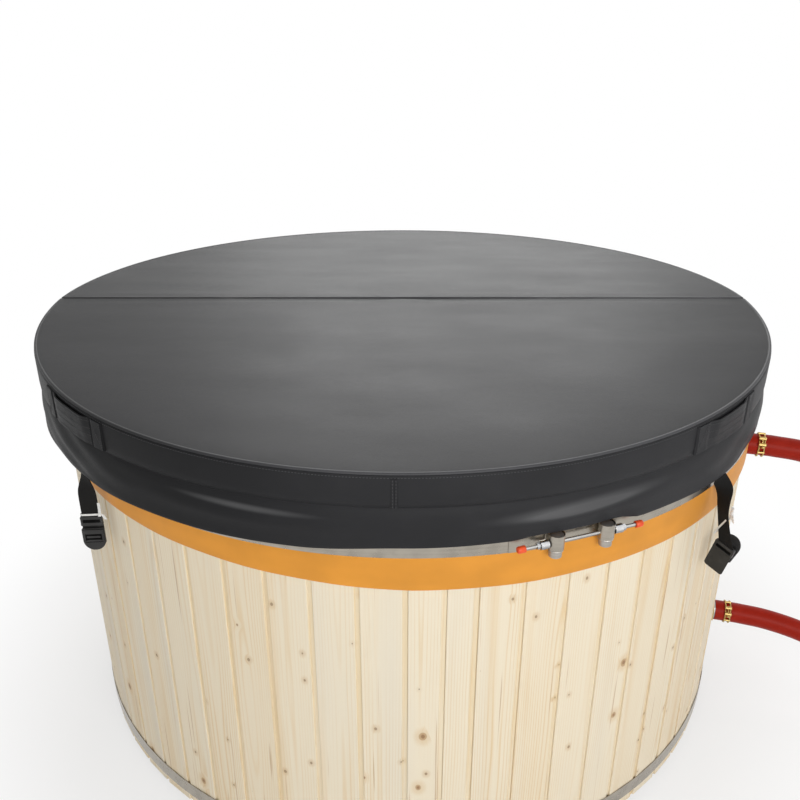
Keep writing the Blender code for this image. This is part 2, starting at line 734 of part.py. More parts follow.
def make_drain(tub, liner, panels, brass, steel, grip):
    """Drain pipe with a strainer inside and a quarter-turn valve outside."""
    out = radial(DRAIN_AZIMUTH)
    frame = aim((0, 0, DRAIN_Z), out)
    seat = seat_in(FOOTWELL_RADIUS, DRAIN_FLANGE)
    inner = seat - 0.004
    pipe_end = BOARD_CORNER + 0.006
    profile = [(DRAIN_BORE, inner), (DRAIN_FLANGE, inner), (DRAIN_FLANGE, seat), (DRAIN_RADIUS, seat)]
    profile += [(DRAIN_RADIUS, pipe_end), (DRAIN_BORE, pipe_end)]
    mesh = turned(profile, 24, True)
    mesh.transform(frame)
    add("drain_pipe", mesh, brass, tub)
    start = FOOTWELL_RADIUS - 0.05
    bore_wall("drain_drill", DRAIN_AZIMUTH, DRAIN_Z, DRAIN_RADIUS, liner, panels, steel, tub, start)
    plate = rod(DRAIN_FLANGE - 0.002, inner - FIT - 0.003, inner - FIT)
    plate.transform(frame)
    strainer = add("drain_strainer", plate, steel, tub)
    holes = bmesh.new()
    for k in range(6):
        bmesh.ops.create_cone(
            holes,
            cap_ends=True,
            segments=8,
            radius1=0.003,
            radius2=0.003,
            depth=0.02,
            matrix=Matrix.Rotation(math.radians(60 * k), 4, "Z") @ Matrix.Translation((0.008, 0, inner)),
        )
    holes.transform(frame)
    combine(strainer, tool("strainer_holes", holes, steel, tub))
    start = BOARD_CORNER + FIT
    end = start + VALVE_LENGTH
    clear = (DRAIN_RADIUS + FIT) / math.cos(math.pi / 24)
    profile = [(clear, start), (0.031, start), (0.031, start + 0.010), (VALVE_RADIUS, start + 0.010)]
    profile += [(VALVE_RADIUS, end), (0.019, end + 0.004), (0.019, end + 0.030), (0.013, end + 0.030)]
    profile += [(0.013, pipe_end + FIT), (clear, pipe_end + FIT)]
    mesh = turned(profile, 24, True)
    mesh.transform(frame)
    valve = add("drain_valve", mesh, brass, tub)
    centre = out * (start + 0.5 * VALVE_LENGTH + 0.004) + Vector((0, 0, DRAIN_Z))
    stem = rod(STEM_RADIUS, 0.018, STEM_HEIGHT)
    stem.transform(Matrix.Translation(centre))
    combine(valve, tool("stem_tool", stem, brass, tub), "UNION")
    turn = Pivot("drain_lever_axis", centre + Vector((0, 0, STEM_HEIGHT - 0.006)), tub)
    low = VALVE_RADIUS + FIT
    side = tangent(DRAIN_AZIMUTH)
    hub = DRAIN_LEVER_WIDTH * 0.75
    wide = DRAIN_LEVER_WIDTH / 2
    begin = math.degrees(math.asin(wide / hub))
    outline = arc(0.0, 0.0, hub, begin, 360 - begin, 16)
    outline += arc(DRAIN_LEVER_LENGTH - wide, 0.0, wide, -90, 90, 6)
    loops = []
    for z in (low, low + DRAIN_LEVER_THICKNESS):
        loops.append([centre + side * a + out * b + Vector((0, 0, z)) for a, b in outline])
    lever = add("drain_lever", skin(loops), grip, turn)
    eye = rod((STEM_RADIUS + FIT) / math.cos(math.pi / 24), 0.0, STEM_HEIGHT + 0.02)
    eye.transform(Matrix.Translation(centre))
    combine(lever, tool("lever_eye", eye, steel, tub))


def top_z(y):
    """Height of the cover's sloping top."""
    return RIDGE_Z - RIDGE_RISE * abs(y) / COVER_RADIUS


def cover_point(radius, azimuth, z, side, fold=HALF_GAP):
    """A point of a cover half, held clear of the fold; side is 1 for the front half and -1 for the rear."""
    turn = math.radians(azimuth)
    y = max(radius * math.cos(turn), fold)
    height = top_z(y) + z if z > -0.5 and z <= 0.0 else z
    return Vector((COVER_SHIFT + radius * math.sin(turn), -side * y, height))


def hem_z(azimuth):
    """Height of the hem: lifted where it passes over the pins, and sagging on both sides."""
    centre = (PIN_LEFT + PIN_RIGHT) / 2
    lift = HEM_LIFT * blend((8.0 - abs(azimuth - centre)) / 3.0)
    sag = HEM_SAG * blend(-azimuth / 12.0) * blend((150.0 + azimuth) / 60.0)
    droop = RIGHT_SAG * blend((RIGHT_SAG_SPREAD - abs(azimuth - RIGHT_SAG_AT)) / 3.0)
    return HEM_Z + lift - sag - droop


def hem_out(azimuth):
    """Distance of the hem from the cover's axis, with soft waves."""
    turn = math.radians(azimuth)
    wave = 0.6 * math.sin(9 * turn + 0.4) + 0.4 * math.sin(17 * turn + 1.3)
    return COVER_RADIUS + HEM_FLARE + WAVE_DEPTH * wave


def make_jacket(name, side, pivot, vinyl):
    """Outer skin of a cover half: top, rounded edge, side band, drawn-in crease and hanging skirt."""
    edge = EDGE_ROUND
    mesh = bmesh.new()
    outer = []
    inner = []
    for k in range(COVER_STEPS + 1):
        azimuth = -90.0 + 180.0 * k / COVER_STEPS
        world = azimuth if side > 0 else 180.0 - azimuth
        if world > 180.0:
            world -= 360.0
        r = COVER_RADIUS
        hem = hem_z(world)
        flare = hem_out(world)
        rows = [
            (r - edge, 0.0),
            (r - 0.3 * edge, -0.3 * edge),
            (r, -edge),
            (r, CREASE_Z + 0.008),
            (r - CREASE_IN, CREASE_Z),
            (r - CREASE_IN / 3, CREASE_Z - 0.010),
            (r + SKIRT_BULGE, CREASE_Z - 0.040),
            (flare, hem),
        ]
        backs = [
            (r - edge - VINYL / 2, -VINYL),
            (r - 0.3 * edge - 0.8 * VINYL, -0.3 * edge - 0.8 * VINYL),
            (r - VINYL, -edge - 0.3 * VINYL),
            (r - VINYL, CREASE_Z + 0.008),
            (r - CREASE_IN - VINYL, CREASE_Z),
            (r - CREASE_IN / 3 - VINYL, CREASE_Z - 0.010),
            (r + SKIRT_BULGE - VINYL, CREASE_Z - 0.040),
            (flare - VINYL, hem),
        ]
        outer.append([mesh.verts.new(cover_point(a, azimuth, z, side)) for a, z in rows])
        inner.append([mesh.verts.new(cover_point(a, azimuth, z, side)) for a, z in backs])
    last = len(outer[0]) - 1
    for k in range(COVER_STEPS):
        for j in range(last):
            mesh.faces.new((outer[k][j], outer[k][j + 1], outer[k + 1][j + 1], outer[k + 1][j]))
            mesh.faces.new((inner[k][j], inner[k + 1][j], inner[k + 1][j + 1], inner[k][j + 1]))
        mesh.faces.new((outer[k][last], inner[k][last], inner[k + 1][last], outer[k + 1][last]))
    mesh.faces.new([row[0] for row in outer])
    mesh.faces.new([row[0] for row in reversed(inner)])
    mesh.faces.new((outer[0][0], inner[0][0], inner[-1][0], outer[-1][0]))
    mesh.faces.new(outer[0] + list(reversed(inner[0])))
    mesh.faces.new(outer[-1] + list(reversed(inner[-1])))
    bmesh.ops.recalc_face_normals(mesh, faces=mesh.faces[:])
    return add(name, mesh, vinyl, pivot)


def half_disc(levels, side, fold):
    """A solid half disc through outlines given as (radius, height)."""
    loops = []
    for radius, z in levels:
        turns = [-90.0 + 180.0 * k / COVER_STEPS for k in range(COVER_STEPS + 1)]
        loops.append([cover_point(radius, a, z, side, fold) for a in turns])
    return skin(loops)


def make_filling(word, side, pivot, foam, cloth):
    """Foam core of a cover half, and the lining that closes it below and along the fold."""
    r = COVER_RADIUS
    low = TUB_HEIGHT + FIT
    base = low + LINING + FIT
    fold = HALF_GAP + LINING + FIT
    under = r - VINYL - 2 * FIT
    levels = [
        (r - CREASE_IN - VINYL - 0.0035, base),
        (under, CREASE_Z + 0.0145),
        (under, -EDGE_ROUND - 0.0015),
        (r - EDGE_ROUND - 0.002, -VINYL - FIT),
    ]
    add(word + "_foam", half_disc(levels, side, fold), foam, pivot)
    edge = r - CREASE_IN - VINYL - FIT
    sheet = half_disc([(edge, low), (edge, low + LINING)], side, HALF_GAP)
    lining = add(word + "_lining", sheet, cloth, pivot)
    high = top_z(0.0) - 2 * VINYL
    size = (2 * edge - 0.02, LINING, high - low - 0.0004)
    at = (COVER_SHIFT, -side * (HALF_GAP + LINING / 2), (low + 0.0004 + high) / 2)
    wall = box(size, at)
    combine(lining, tool(word + "_fold_wall", wall, cloth, pivot), "UNION")


def make_handle(name, centre, pivot, vinyl):
    """A flap sewn down at both ends and bowed off the side band between them."""
    half = (HANDLE_END - HANDLE_START) / 2
    loops = []
    for k in range(17):
        azimuth = centre - half + 2 * half * k / 16
        free = blend((half - abs(azimuth - centre) - HANDLE_PATCH) / (half - HANDLE_PATCH) * 1.5)
        inner = COVER_RADIUS + FIT + HANDLE_BOW * free
        side = 1 if abs(azimuth) < 90 else -1
        world = azimuth if side > 0 else math.copysign(180.0, azimuth) - azimuth
        low = CREASE_Z + 0.010
        high = top_z(COVER_RADIUS * math.cos(math.radians(world))) - EDGE_ROUND - 0.003 - 0.006 * free
        outer = inner + HANDLE_THICKNESS
        ends = ((inner, low), (outer, low), (outer, high), (inner, high))
        loops.append([cover_point(r, world, z, side) for r, z in ends])
    add(name, skin(loops), vinyl, pivot)


def make_strap(name, azimuth, sections, lean, pivot, webbing):
    """A twisting strap that hangs from the hem; gives back its lower end and the way it faces there."""
    middle = Vector((COVER_SHIFT, 0, 0))
    top = hem_z(azimuth) - STRAP_GAP
    start = hem_out(azimuth) - VINYL / 2
    loops = []
    length = sections[-1][0]
    for drop, out, twist in sections:
        centre = middle + polar(start + out, azimuth, top - drop)
        facing = radial(azimuth + twist)
        tilt = Matrix.Rotation(math.radians(-lean * blend(drop / length)), 3, facing)
        wide = tilt @ tangent(azimuth + twist) * STRAP_WIDTH / 2
        thick = facing * STRAP_THICKNESS / 2
        back = centre - thick
        front = centre + thick
        loops.append([back - wide, back + wide, front + wide, front - wide])
    mesh = skin(loops)
    bmesh.ops.triangulate(mesh, faces=mesh.faces[:])
    add(name, mesh, webbing, pivot)
    drop, out, twist = sections[-1]
    return middle + polar(start + out, azimuth, top - drop), azimuth + twist


def make_buckle(name, end, down, face, swing, opened, plastic):
    """A buckle base below a strap and the lever that closes on it."""
    wide = down.cross(face)
    half = BUCKLE_WIDTH / 2
    thick = FRAME_THICKNESS / 2
    recess = PLATE_THICKNESS - 0.0015 - thick
    plate = PLATE_THICKNESS - thick
    profile = [(-thick, FIT), (thick, FIT), (thick, FRAME_DROP), (recess, FRAME_DROP)]
    step = LEVER_PIVOT + 0.012
    profile += [(recess, step), (plate, step), (plate, PLATE_DROP), (-thick, PLATE_DROP)]
    loops = []
    for w in (SIDE_INSET - half, half - SIDE_INSET):
        loops.append([end + wide * w + face * n + down * d for n, d in profile])
    add(name + "_base", skin(loops), plastic, swing)
    low = plate + 0.0005
    at = end + down * LEVER_PIVOT + face * (low + LEVER_THICKNESS / 2)
    hinge = Pivot(name + "_lever_axis", at, swing)
    outline = [(-half, LEVER_TOP), (half, LEVER_TOP)]
    outline += arc(0.0, LEVER_DROP - half, half, 0, 180, 10)
    loops = []
    for n in (low, low + LEVER_THICKNESS):
        loops.append([end + wide * w + face * n + down * d for w, d in outline])
    lever = skin(loops)
    turn = Matrix.Rotation(math.radians(opened), 4, wide)
    lever.transform(Matrix.Translation(at) @ turn @ Matrix.Translation(-at))
    add(name + "_lever", lever, plastic, hinge)


def make_straps(front, webbing, plastic):
    """Both straps with their buckles; the right one has turned on itself and stands open."""
    straps = (("left", LEFT_STRAP, LEFT_SECTIONS), ("right", RIGHT_STRAP, RIGHT_SECTIONS))
    for name, azimuth, sections in straps:
        hinge_z = hem_z(azimuth) - STRAP_GAP - 0.0018
        at = Vector((COVER_SHIFT, 0, 0)) + polar(hem_out(azimuth) - VINYL / 2, azimuth, hinge_z)
        swing = Pivot("strap_" + name + "_axis", at, front)
        lean = RIGHT_TILT if name == "right" else 0.0
        end, facing = make_strap("strap_" + name, azimuth, sections, lean, swing, webbing)
        face = radial(facing)
        down = Vector((0, 0, -1))
        opened = 0.0
        if name == "right":
            down = Matrix.Rotation(math.radians(-lean), 3, face) @ down
            face = -face
            opened = RIGHT_OPEN
        make_buckle("buckle_" + name, end, down, face, swing, opened, plastic)


def main():
    """Build every piece."""
    for old in list(bpy.data.objects):
        bpy.data.objects.remove(old, do_unlink=True)
    timber = paint("Spruce board", (0.80, 0.64, 0.44), 0.6)
    rough_timber = paint("Sawn timber", (0.62, 0.47, 0.30), 0.8)
    plastic = paint("Tub plastic", (0.60, 0.28, 0.08), 0.35)
    steel = paint("Stainless steel", (0.62, 0.62, 0.63), 0.3, 1.0)
    chrome = paint("Plated steel", (0.75, 0.75, 0.76), 0.15, 1.0)
    red = paint("Red cap", (0.50, 0.05, 0.04), 0.4)
    rubber = paint("Red silicone", (0.42, 0.03, 0.02), 0.45)
    zinc = paint("Yellow zinc", (0.66, 0.50, 0.18), 0.3, 1.0)
    brass = paint("Brass", (0.72, 0.55, 0.25), 0.3, 1.0)
    grip = paint("Lever coating", (0.08, 0.10, 0.30), 0.5)
    vinyl = paint("Charcoal vinyl", (0.045, 0.045, 0.050), 0.5)
    foam = paint("Foam", (0.85, 0.85, 0.82), 0.9)
    cloth = paint("Lining cloth", (0.10, 0.10, 0.11), 0.8)
    webbing = paint("Strap webbing", (0.09, 0.09, 0.09), 0.8)
    black = paint("Black plastic", (0.02, 0.02, 0.02), 0.4)

    tub = Pivot("tub", (0, 0, 0))
    make_base(tub, rough_timber)
    footwell, side = make_liner(tub, plastic)
    panels = make_wall(tub, timber)
    hoop = make_hoop(tub, steel)
    make_tightener(tub, hoop, steel, chrome, red)
    make_lower_hoop(tub, steel)
    make_port("upper_port", UPPER_PORT_Z, BASIN_RADIUS, side, panels, tub, brass, steel)
    make_port("lower_port", LOWER_PORT_Z, FOOTWELL_RADIUS, footwell, panels, tub, brass, steel)
    make_hose("upper_hose", UPPER_PORT_Z, UPPER_ROUTE, tub, rubber, zinc, steel)
    make_hose("lower_hose", LOWER_PORT_Z, LOWER_ROUTE, tub, rubber, zinc, steel)
    make_drain(tub, footwell, panels, brass, steel, grip)

    rear = Pivot("cover_rear_axis", (COVER_SHIFT, 0, FOLD_Z), tub)
    front = Pivot("cover_front_axis", (COVER_SHIFT, 0, FOLD_Z), rear)
    make_jacket("rear_jacket", -1, rear, vinyl)
    make_filling("rear", -1, rear, foam, cloth)
    make_jacket("front_jacket", 1, front, vinyl)
    make_filling("front", 1, front, foam, cloth)
    welt = rod(WELT_RADIUS, -COVER_RADIUS + EDGE_ROUND, COVER_RADIUS - EDGE_ROUND, 12)
    welt.transform(aim((COVER_SHIFT, 0, FOLD_Z), (1, 0, 0)))
    add("fold_welt", welt, vinyl, rear)
    middle = (HANDLE_START + HANDLE_END) / 2
    make_handle("handle_left", -middle, front, vinyl)
    make_handle("handle_right", middle, front, vinyl)
    make_straps(front, webbing, black)


main()
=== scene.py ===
"""Dressed scene of a board-clad hot tub with a folding insulated cover, a hoop tightener and heater hoses."""

import math

import bmesh
import bpy
from mathutils import Matrix, Vector, noise


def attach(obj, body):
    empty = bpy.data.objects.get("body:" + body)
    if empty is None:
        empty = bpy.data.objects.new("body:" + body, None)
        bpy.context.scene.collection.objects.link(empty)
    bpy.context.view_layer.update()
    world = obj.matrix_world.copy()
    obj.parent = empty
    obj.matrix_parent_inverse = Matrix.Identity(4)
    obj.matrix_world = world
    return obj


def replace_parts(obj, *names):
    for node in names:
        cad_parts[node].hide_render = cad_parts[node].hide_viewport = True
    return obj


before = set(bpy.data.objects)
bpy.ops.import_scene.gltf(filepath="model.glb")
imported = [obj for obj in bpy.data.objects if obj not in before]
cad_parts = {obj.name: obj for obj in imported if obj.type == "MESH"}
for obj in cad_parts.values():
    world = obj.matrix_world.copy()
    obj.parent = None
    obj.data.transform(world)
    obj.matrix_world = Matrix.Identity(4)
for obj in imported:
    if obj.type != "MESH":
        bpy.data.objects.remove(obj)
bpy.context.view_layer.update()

bl_info = {
    "name": "Board-clad Hot Tub",
    "version": (1, 0, 0),
    "blender": (4, 5, 0),
    "location": "3D View > Sidebar > Hot Tub",
    "description": "Dresses the hot tub's solids with its cover, boards, hoop, straps and hoses",
    "category": "Object",
}

# Sizes repeated from the solids, in metres and degrees; azimuth 0 is the front (-Y), growing towards +X
FIT = 0.0003
STEPS = 64
LINER_WALL = 0.006
RIM_CURVE = 0.020
RIM_EDGE = 0.014
BOARD_THICKNESS = 0.018
FIRST_SEAM = -0.36
CLOSING_BOARDS = (0.0772, 0.0650)
PIN_LEFT = 16.75
PIN_RIGHT = 23.4
PIN_RADIUS = 0.0145
HOOP_THICKNESS = 0.0012
HOOP_TAIL = 0.090
LOWER_HOOP = (0.0452, 0.0848)
ROD_REACH = 0.078
ROD_PITCH = 0.00125
SPACER_START = 0.0172
PORT_AZIMUTH = 75.0
UPPER_PORT_Z = 0.771
LOWER_PORT_Z = 0.211
HOSE_LEAD = 0.060
HOSE_REST = 0.0346
CLAMP_AT = 0.034
CLAMP_FACING = (0.0, -0.8, 0.6)
UPPER_ROUTE = (
    (0.165, 0.000, 0.990),
    (0.265, 0.006, 0.947),
    (0.356, 0.022, 0.866),
    (0.430, 0.052, 0.748),
    (0.482, 0.098, 0.605),
    (0.513, 0.160, 0.453),
    (0.529, 0.238, 0.304),
    (0.535, 0.332, 0.171),
    (0.533, 0.440, 0.066),
    (0.527, 0.555, 0.011),
    (0.520, 0.655, 0.000),
)
LOWER_ROUTE = (
    (0.165, -0.001, 0.966),
    (0.265, -0.008, 0.859),
    (0.365, -0.024, 0.666),
    (0.465, -0.049, 0.440),
    (0.565, -0.084, 0.219),
    (0.655, -0.126, 0.061),
    (0.735, -0.170, 0.000),
)
LEFT_STRAP = -45.75
RIGHT_STRAP = 45.5
LEFT_SECTIONS = (
    (0.000, 0.000, 0.0),
    (0.010, 0.0005, 8.0),
    (0.024, 0.002, 27.0),
    (0.040, 0.003, 45.0),
    (0.066, 0.003, 50.0),
    (0.099, 0.003, 50.0),
)
RIGHT_SECTIONS = (
    (0.000, 0.000, 0.0),
    (0.010, 0.003, -28.0),
    (0.026, 0.0095, -76.0),
    (0.048, 0.013, -108.0),
    (0.080, 0.0165, -118.0),
    (0.120, 0.026, -112.0),
    (0.160, 0.037, -96.0),
)
RIGHT_TILT = 15.0
RIGHT_OPEN = 145.0
VINYL = 0.002


def length(name, default, description):
    """A length setting."""
    return bpy.props.FloatProperty(
        name=name, default=default, description=description, unit="LENGTH", precision=4
    )


def tint(name, default, description):
    """A colour setting."""
    return bpy.props.FloatVectorProperty(
        name=name, default=default, description=description, subtype="COLOR", size=3, min=0.0, max=1.0
    )


class HotTubCover(bpy.types.PropertyGroup):
    """Sizes and colour of the folding cover."""

    radius: length("Radius", 0.965, "From the cover's axis to its side band")
    shift: length("Shift", -0.015, "How far the cover lies to the right of the tub's axis")
    ridge: length("Ridge height", 1.105, "Height of the top at the fold")
    rise: length("Ridge rise", 0.025, "Fall of the top from the fold to the edge")
    crease: length("Crease height", 1.006, "Where the side band ends and the skirt begins")
    hem: length("Hem height", 0.924, "Lower edge of the skirt at the front")
    stitch: length("Stitch pitch", 0.0062, "Distance from stitch to stitch")
    colour: tint("Vinyl", (0.015, 0.015, 0.016), "Colour of the artificial leather")
    thread: tint("Thread", (0.085, 0.085, 0.088), "Colour of the stitching")


class HotTubWall(bpy.types.PropertyGroup):
    """Sizes and colours of the boards."""

    radius: length("Radius", 0.935, "From the axis to the flat face of a board")
    boards: bpy.props.IntProperty(name="Boards", default=60, description="Full boards round the tub", min=12)
    foot: length("Foot", 0.020, "Height of the board ends above the ground")
    head: length("Head", 0.989, "Height of the board tops under the rim")
    lip: length("Lip width", 0.011, "Width of the stepped lip at each seam")
    depth: length("Lip depth", 0.004, "Depth of the stepped lip")
    pale: tint("Pale wood", (0.84, 0.745, 0.575), "Early wood")
    deep: tint("Deep wood", (0.75, 0.56, 0.32), "Late wood and streaks")
    knot: tint("Knot", (0.24, 0.115, 0.045), "Knots")


class HotTubShell(bpy.types.PropertyGroup):
    """Sizes and colours of the moulded tub and its metal."""

    rim: length("Rim", 1.005, "Height of the tub's rim")
    apron: length("Apron edge", 0.8075, "Lower edge of the apron at the front")
    apron_rise: length("Apron rise", 0.040, "Climb of the apron's edge on the left")
    hoop: length("Hoop", 0.885, "Lower edge of the hoop")
    hoop_width: length("Hoop width", 0.040, "Width of the hoop's strip")
    plastic: tint("Tub plastic", (0.80, 0.335, 0.046), "Colour of the moulded tub")
    steel: tint("Steel", (0.41, 0.375, 0.32), "Stainless steel")
    cap: tint("Caps", (0.80, 0.075, 0.012), "Rod end caps")


class HotTubHose(bpy.types.PropertyGroup):
    """Sizes and colours of the hoses and straps."""

    radius: length("Hose radius", 0.029, "Outside radius of a hose")
    wire: length("Clamp wire", 0.0021, "Radius of a clamp's wire")
    rubber: tint("Silicone", (0.31, 0.0125, 0.003), "Colour of the hoses")
    zinc: tint("Zinc", (0.62, 0.45, 0.17), "Yellow plating of the clamps")
    webbing: tint("Webbing", (0.006, 0.0056, 0.0052), "Colour of the straps")
    buckle: tint("Buckle", (0.015, 0.0145, 0.014), "Colour of the buckles")


class HotTubStage(bpy.types.PropertyGroup):
    """Camera and light."""

    aside: length("Camera aside", -0.0215, "How far the camera stands to the right of the axis")
    back: length("Camera distance", 2.2407, "Distance of the camera in front of the axis")
    height: length("Camera height", 1.798, "Height of the camera")
    pitch: bpy.props.FloatProperty(
        name="Pitch",
        default=math.radians(24.26),
        description="Camera's tilt below the horizon",
        subtype="ANGLE",
    )
    lens: bpy.props.FloatProperty(name="Lens", default=37.08, description="Focal length", unit="CAMERA")
    fill: bpy.props.FloatProperty(
        name="Fill", default=0.40, description="Strength of the room's light", min=0.0
    )


class HotTubSettings(bpy.types.PropertyGroup):
    """All settings of the hot tub."""

    cover: bpy.props.PointerProperty(type=HotTubCover)
    wall: bpy.props.PointerProperty(type=HotTubWall)
    shell: bpy.props.PointerProperty(type=HotTubShell)
    hose: bpy.props.PointerProperty(type=HotTubHose)
    stage: bpy.props.PointerProperty(type=HotTubStage)


class Wire:
    """A shader socket that takes Python arithmetic."""

    def __init__(self, finish, socket):
        self.finish = finish
        self.socket = socket

    def run(self, operation, *values):
        """A Math node on this and other values."""
        sockets = dict(enumerate(values))
        return self.finish.add("ShaderNodeMath", {"operation": operation}, sockets)

    def __add__(self, other):
        return self.run("ADD", self, other)

    def __radd__(self, other):
        return self.run("ADD", other, self)

    def __sub__(self, other):
        return self.run("SUBTRACT", self, other)

    def __rsub__(self, other):
        return self.run("SUBTRACT", other, self)

    def __mul__(self, other):
        return self.run("MULTIPLY", self, other)

    def __rmul__(self, other):
        return self.run("MULTIPLY", other, self)

    def __truediv__(self, other):
        return self.run("DIVIDE", self, other)

    def __pow__(self, other):
        return self.run("POWER", self, other)

    def clamp(self):
        return self.finish.add("ShaderNodeClamp", {}, {0: self})

    def part(self, index):
        """One axis of a vector."""
        return self.finish.add("ShaderNodeSeparateXYZ", {}, {0: self}, index)


class Finish:
    """A procedural material and the one way its nodes are made."""

    def __init__(self, name):
        self.material = bpy.data.materials.new(name)
        self.material.use_nodes = True
        self.tree = self.material.node_tree
        self.shader = self.tree.nodes["Principled BSDF"]

    def add(self, kind, settings=None, sockets=None, output=0):
        """Makes a node, sets it and gives one of its outputs."""
        node = self.tree.nodes.new(kind)
        for key, value in (settings or {}).items():
            setattr(node, key, value)
        for key, value in (sockets or {}).items():
            self.feed(node.inputs[key], value)
        return Wire(self, node.outputs[output])

    def feed(self, socket, value):
        """Links a wire to a socket, or sets its value."""
        if isinstance(value, Wire):
            self.tree.links.new(value.socket, socket)
        elif socket.type == "RGBA" and len(value) == 3:
            socket.default_value = (*value, 1.0)
        else:
            socket.default_value = value

    def set(self, **values):
        """Feeds the surface shader."""
        for key, value in values.items():
            self.feed(self.shader.inputs[key.replace("_", " ")], value)
        return self.material

    def place(self):
        return self.add("ShaderNodeTexCoord", {}, {}, 3)

    def vector(self, x, y, z):
        return self.add("ShaderNodeCombineXYZ", {}, {0: x, 1: y, 2: z})

    def cloud(self, vector, scale, detail=2.0, rough=0.5):
        sockets = {"Vector": vector, "Scale": scale, "Detail": detail, "Roughness": rough}
        return self.add("ShaderNodeTexNoise", {}, sockets)

    def cells(self, vector, scale, feature="F1", output=0, flat=False):
        settings = {"feature": feature, "voronoi_dimensions": "2D" if flat else "3D"}
        return self.add("ShaderNodeTexVoronoi", settings, {"Vector": vector, "Scale": scale}, output)

    def step(self, value, low, high, start=0.0, end=1.0):
        settings = {"interpolation_type": "SMOOTHSTEP", "clamp": True}
        return self.add("ShaderNodeMapRange", settings, {0: value, 1: low, 2: high, 3: start, 4: end})

    def mix(self, factor, first, second):
        return self.add("ShaderNodeMix", {"data_type": "RGBA"}, {0: factor, 6: first, 7: second}, 2)

    def bump(self, height, strength, distance):
        return self.add("ShaderNodeBump", {}, {"Height": height, "Strength": strength, "Distance": distance})


def spruce(wall):
    """Pale planed spruce with arched late wood, streaks and knots, laid out on each board's own map."""
    f = Finish("Spruce board")
    grain = f.add("ShaderNodeUVMap", {"uv_map": "grain"})
    board = f.add("ShaderNodeAttribute", {"attribute_name": "board"}, {}, 2)
    lip = f.add("ShaderNodeAttribute", {"attribute_name": "lip"}, {}, 2)
    across = grain.part(0)
    along = grain.part(1)
    tone = f.add("ShaderNodeTexWhiteNoise", {"noise_dimensions": "1D"}, {"W": board * 91.7})
    kind = f.add("ShaderNodeTexWhiteNoise", {"noise_dimensions": "1D"}, {"W": board * 37.1 + 5.0})
    wobble = f.cloud(f.vector(across * 90.0, along * 60.0, board * 3.0), 1.0, 2.0) - 0.5

    def knots(pitch_across, pitch_along, shift, least, largest):
        """Knots scattered over the board: how far a point is from the nearest one, and that one's radius."""
        cell = f.vector(across / pitch_across + board * shift, along / pitch_along + board * shift * 0.6, 0.0)
        spot = f.cells(cell, 1.0, "F1", 2, True)
        chance = f.cells(cell, 1.0, "F1", 1, True).part(0)
        away = f.add("ShaderNodeVectorMath", {"operation": "SUBTRACT"}, {0: cell, 1: spot})
        scale = (pitch_across, pitch_along * 0.75, 0.0)
        away = f.add("ShaderNodeVectorMath", {"operation": "MULTIPLY"}, {0: away, 1: scale})
        reach = f.add("ShaderNodeVectorMath", {"operation": "LENGTH"}, {0: away}, 1)
        return reach + wobble * 0.0030, f.step(chance, least, 1.0, 0.0, largest)

    reach, size = knots(0.095, 0.30, 17.3, 0.70, 0.0085)
    knot = f.step(reach - size, 0.0012, -0.0012) * f.step(size, 0.0006, 0.0020)
    heart = f.step(reach - size * 0.5, 0.0014, -0.0014)
    halo = f.step(reach - size * 1.4, 0.014, -0.002) * f.step(size, 0.001, 0.004)
    near, pip = knots(0.070, 0.15, 53.0, 0.45, 0.0032)
    speck = f.step(near - pip, 0.0009, -0.0009) * f.step(pip, 0.0004, 0.0012)
    shade = f.step(near - pip * 1.6, 0.008, -0.001) * f.step(pip, 0.0006, 0.0020)
    drift = f.cloud(f.vector(across * 7.0, along * 1.1, board * 31.0), 1.0, 2.0) - 0.5
    offset = across - (kind * 0.075 + 0.012)
    depth = tone * 0.034 + 0.006
    ring = (offset * offset + depth * depth) ** 0.5
    ring = ring + along * (kind * 0.036 - 0.018) + drift * 0.020 + halo * 0.004 + shade * 0.002
    phase = ring * (tone * 90.0 + 150.0) * 6.283
    late = (phase.run("SINE", phase) * 0.5 + 0.5) ** 5.0
    strong = f.step(f.cloud(f.vector(across * 9.0, along * 1.3, board * 11.0), 1.0, 2.0), 0.32, 0.66)
    fibre = f.cloud(f.vector(across * 520.0, along * 7.0, board * 57.0), 1.0, 3.0, 0.6)
    streak = f.cloud(f.vector(across * 30.0, along * 0.6, board * 83.0), 1.0, 3.0, 0.55)
    deepen = late * (strong * 0.62 + 0.06) + f.step(streak, 0.48, 0.72) * 0.50
    deepen = deepen + (fibre - 0.5) * 0.40 + (tone - 0.5) * 0.26 + 0.04
    wood = f.mix(deepen.clamp(), tuple(wall.pale), tuple(wall.deep))
    ashen = f.step(f.cloud(f.vector(across * 9.0, along * 0.7, board * 147.0), 1.0, 1.0), 0.48, 0.72)
    wood = f.mix(ashen * 0.45, wood, (0.74, 0.69, 0.59))
    wood = f.mix(halo * 0.38, wood, (0.66, 0.44, 0.20))
    wood = f.mix(shade * 0.40, wood, (0.60, 0.40, 0.19))
    wood = f.mix(knot * 0.75, wood, (0.46, 0.28, 0.13))
    wood = f.mix(knot * heart * 0.7, wood, tuple(wall.knot))
    wood = f.mix(speck * 0.70, wood, (0.24, 0.14, 0.065))
    pitch = f.cloud(f.vector(across * 150.0, along * 2.6, board * 131.0), 1.0, 1.0)
    wood = f.mix(f.step(pitch, 0.70, 0.79) * 0.60, wood, (0.46, 0.26, 0.10))
    worn = f.cloud(f.vector(across * 40.0, along * 3.0, board * 19.0), 1.0, 2.0)
    wood = f.mix(lip * f.step(worn, 0.25, 0.75, 0.10, 0.50), wood, (0.78, 0.60, 0.33))
    height = fibre * 0.5 + late * 0.6 - knot * 0.8 - speck * 0.5
    return f.set(Base_Color=wood, Roughness=0.52 + fibre * 0.16, Normal=f.bump(height, 0.25, 0.0006))


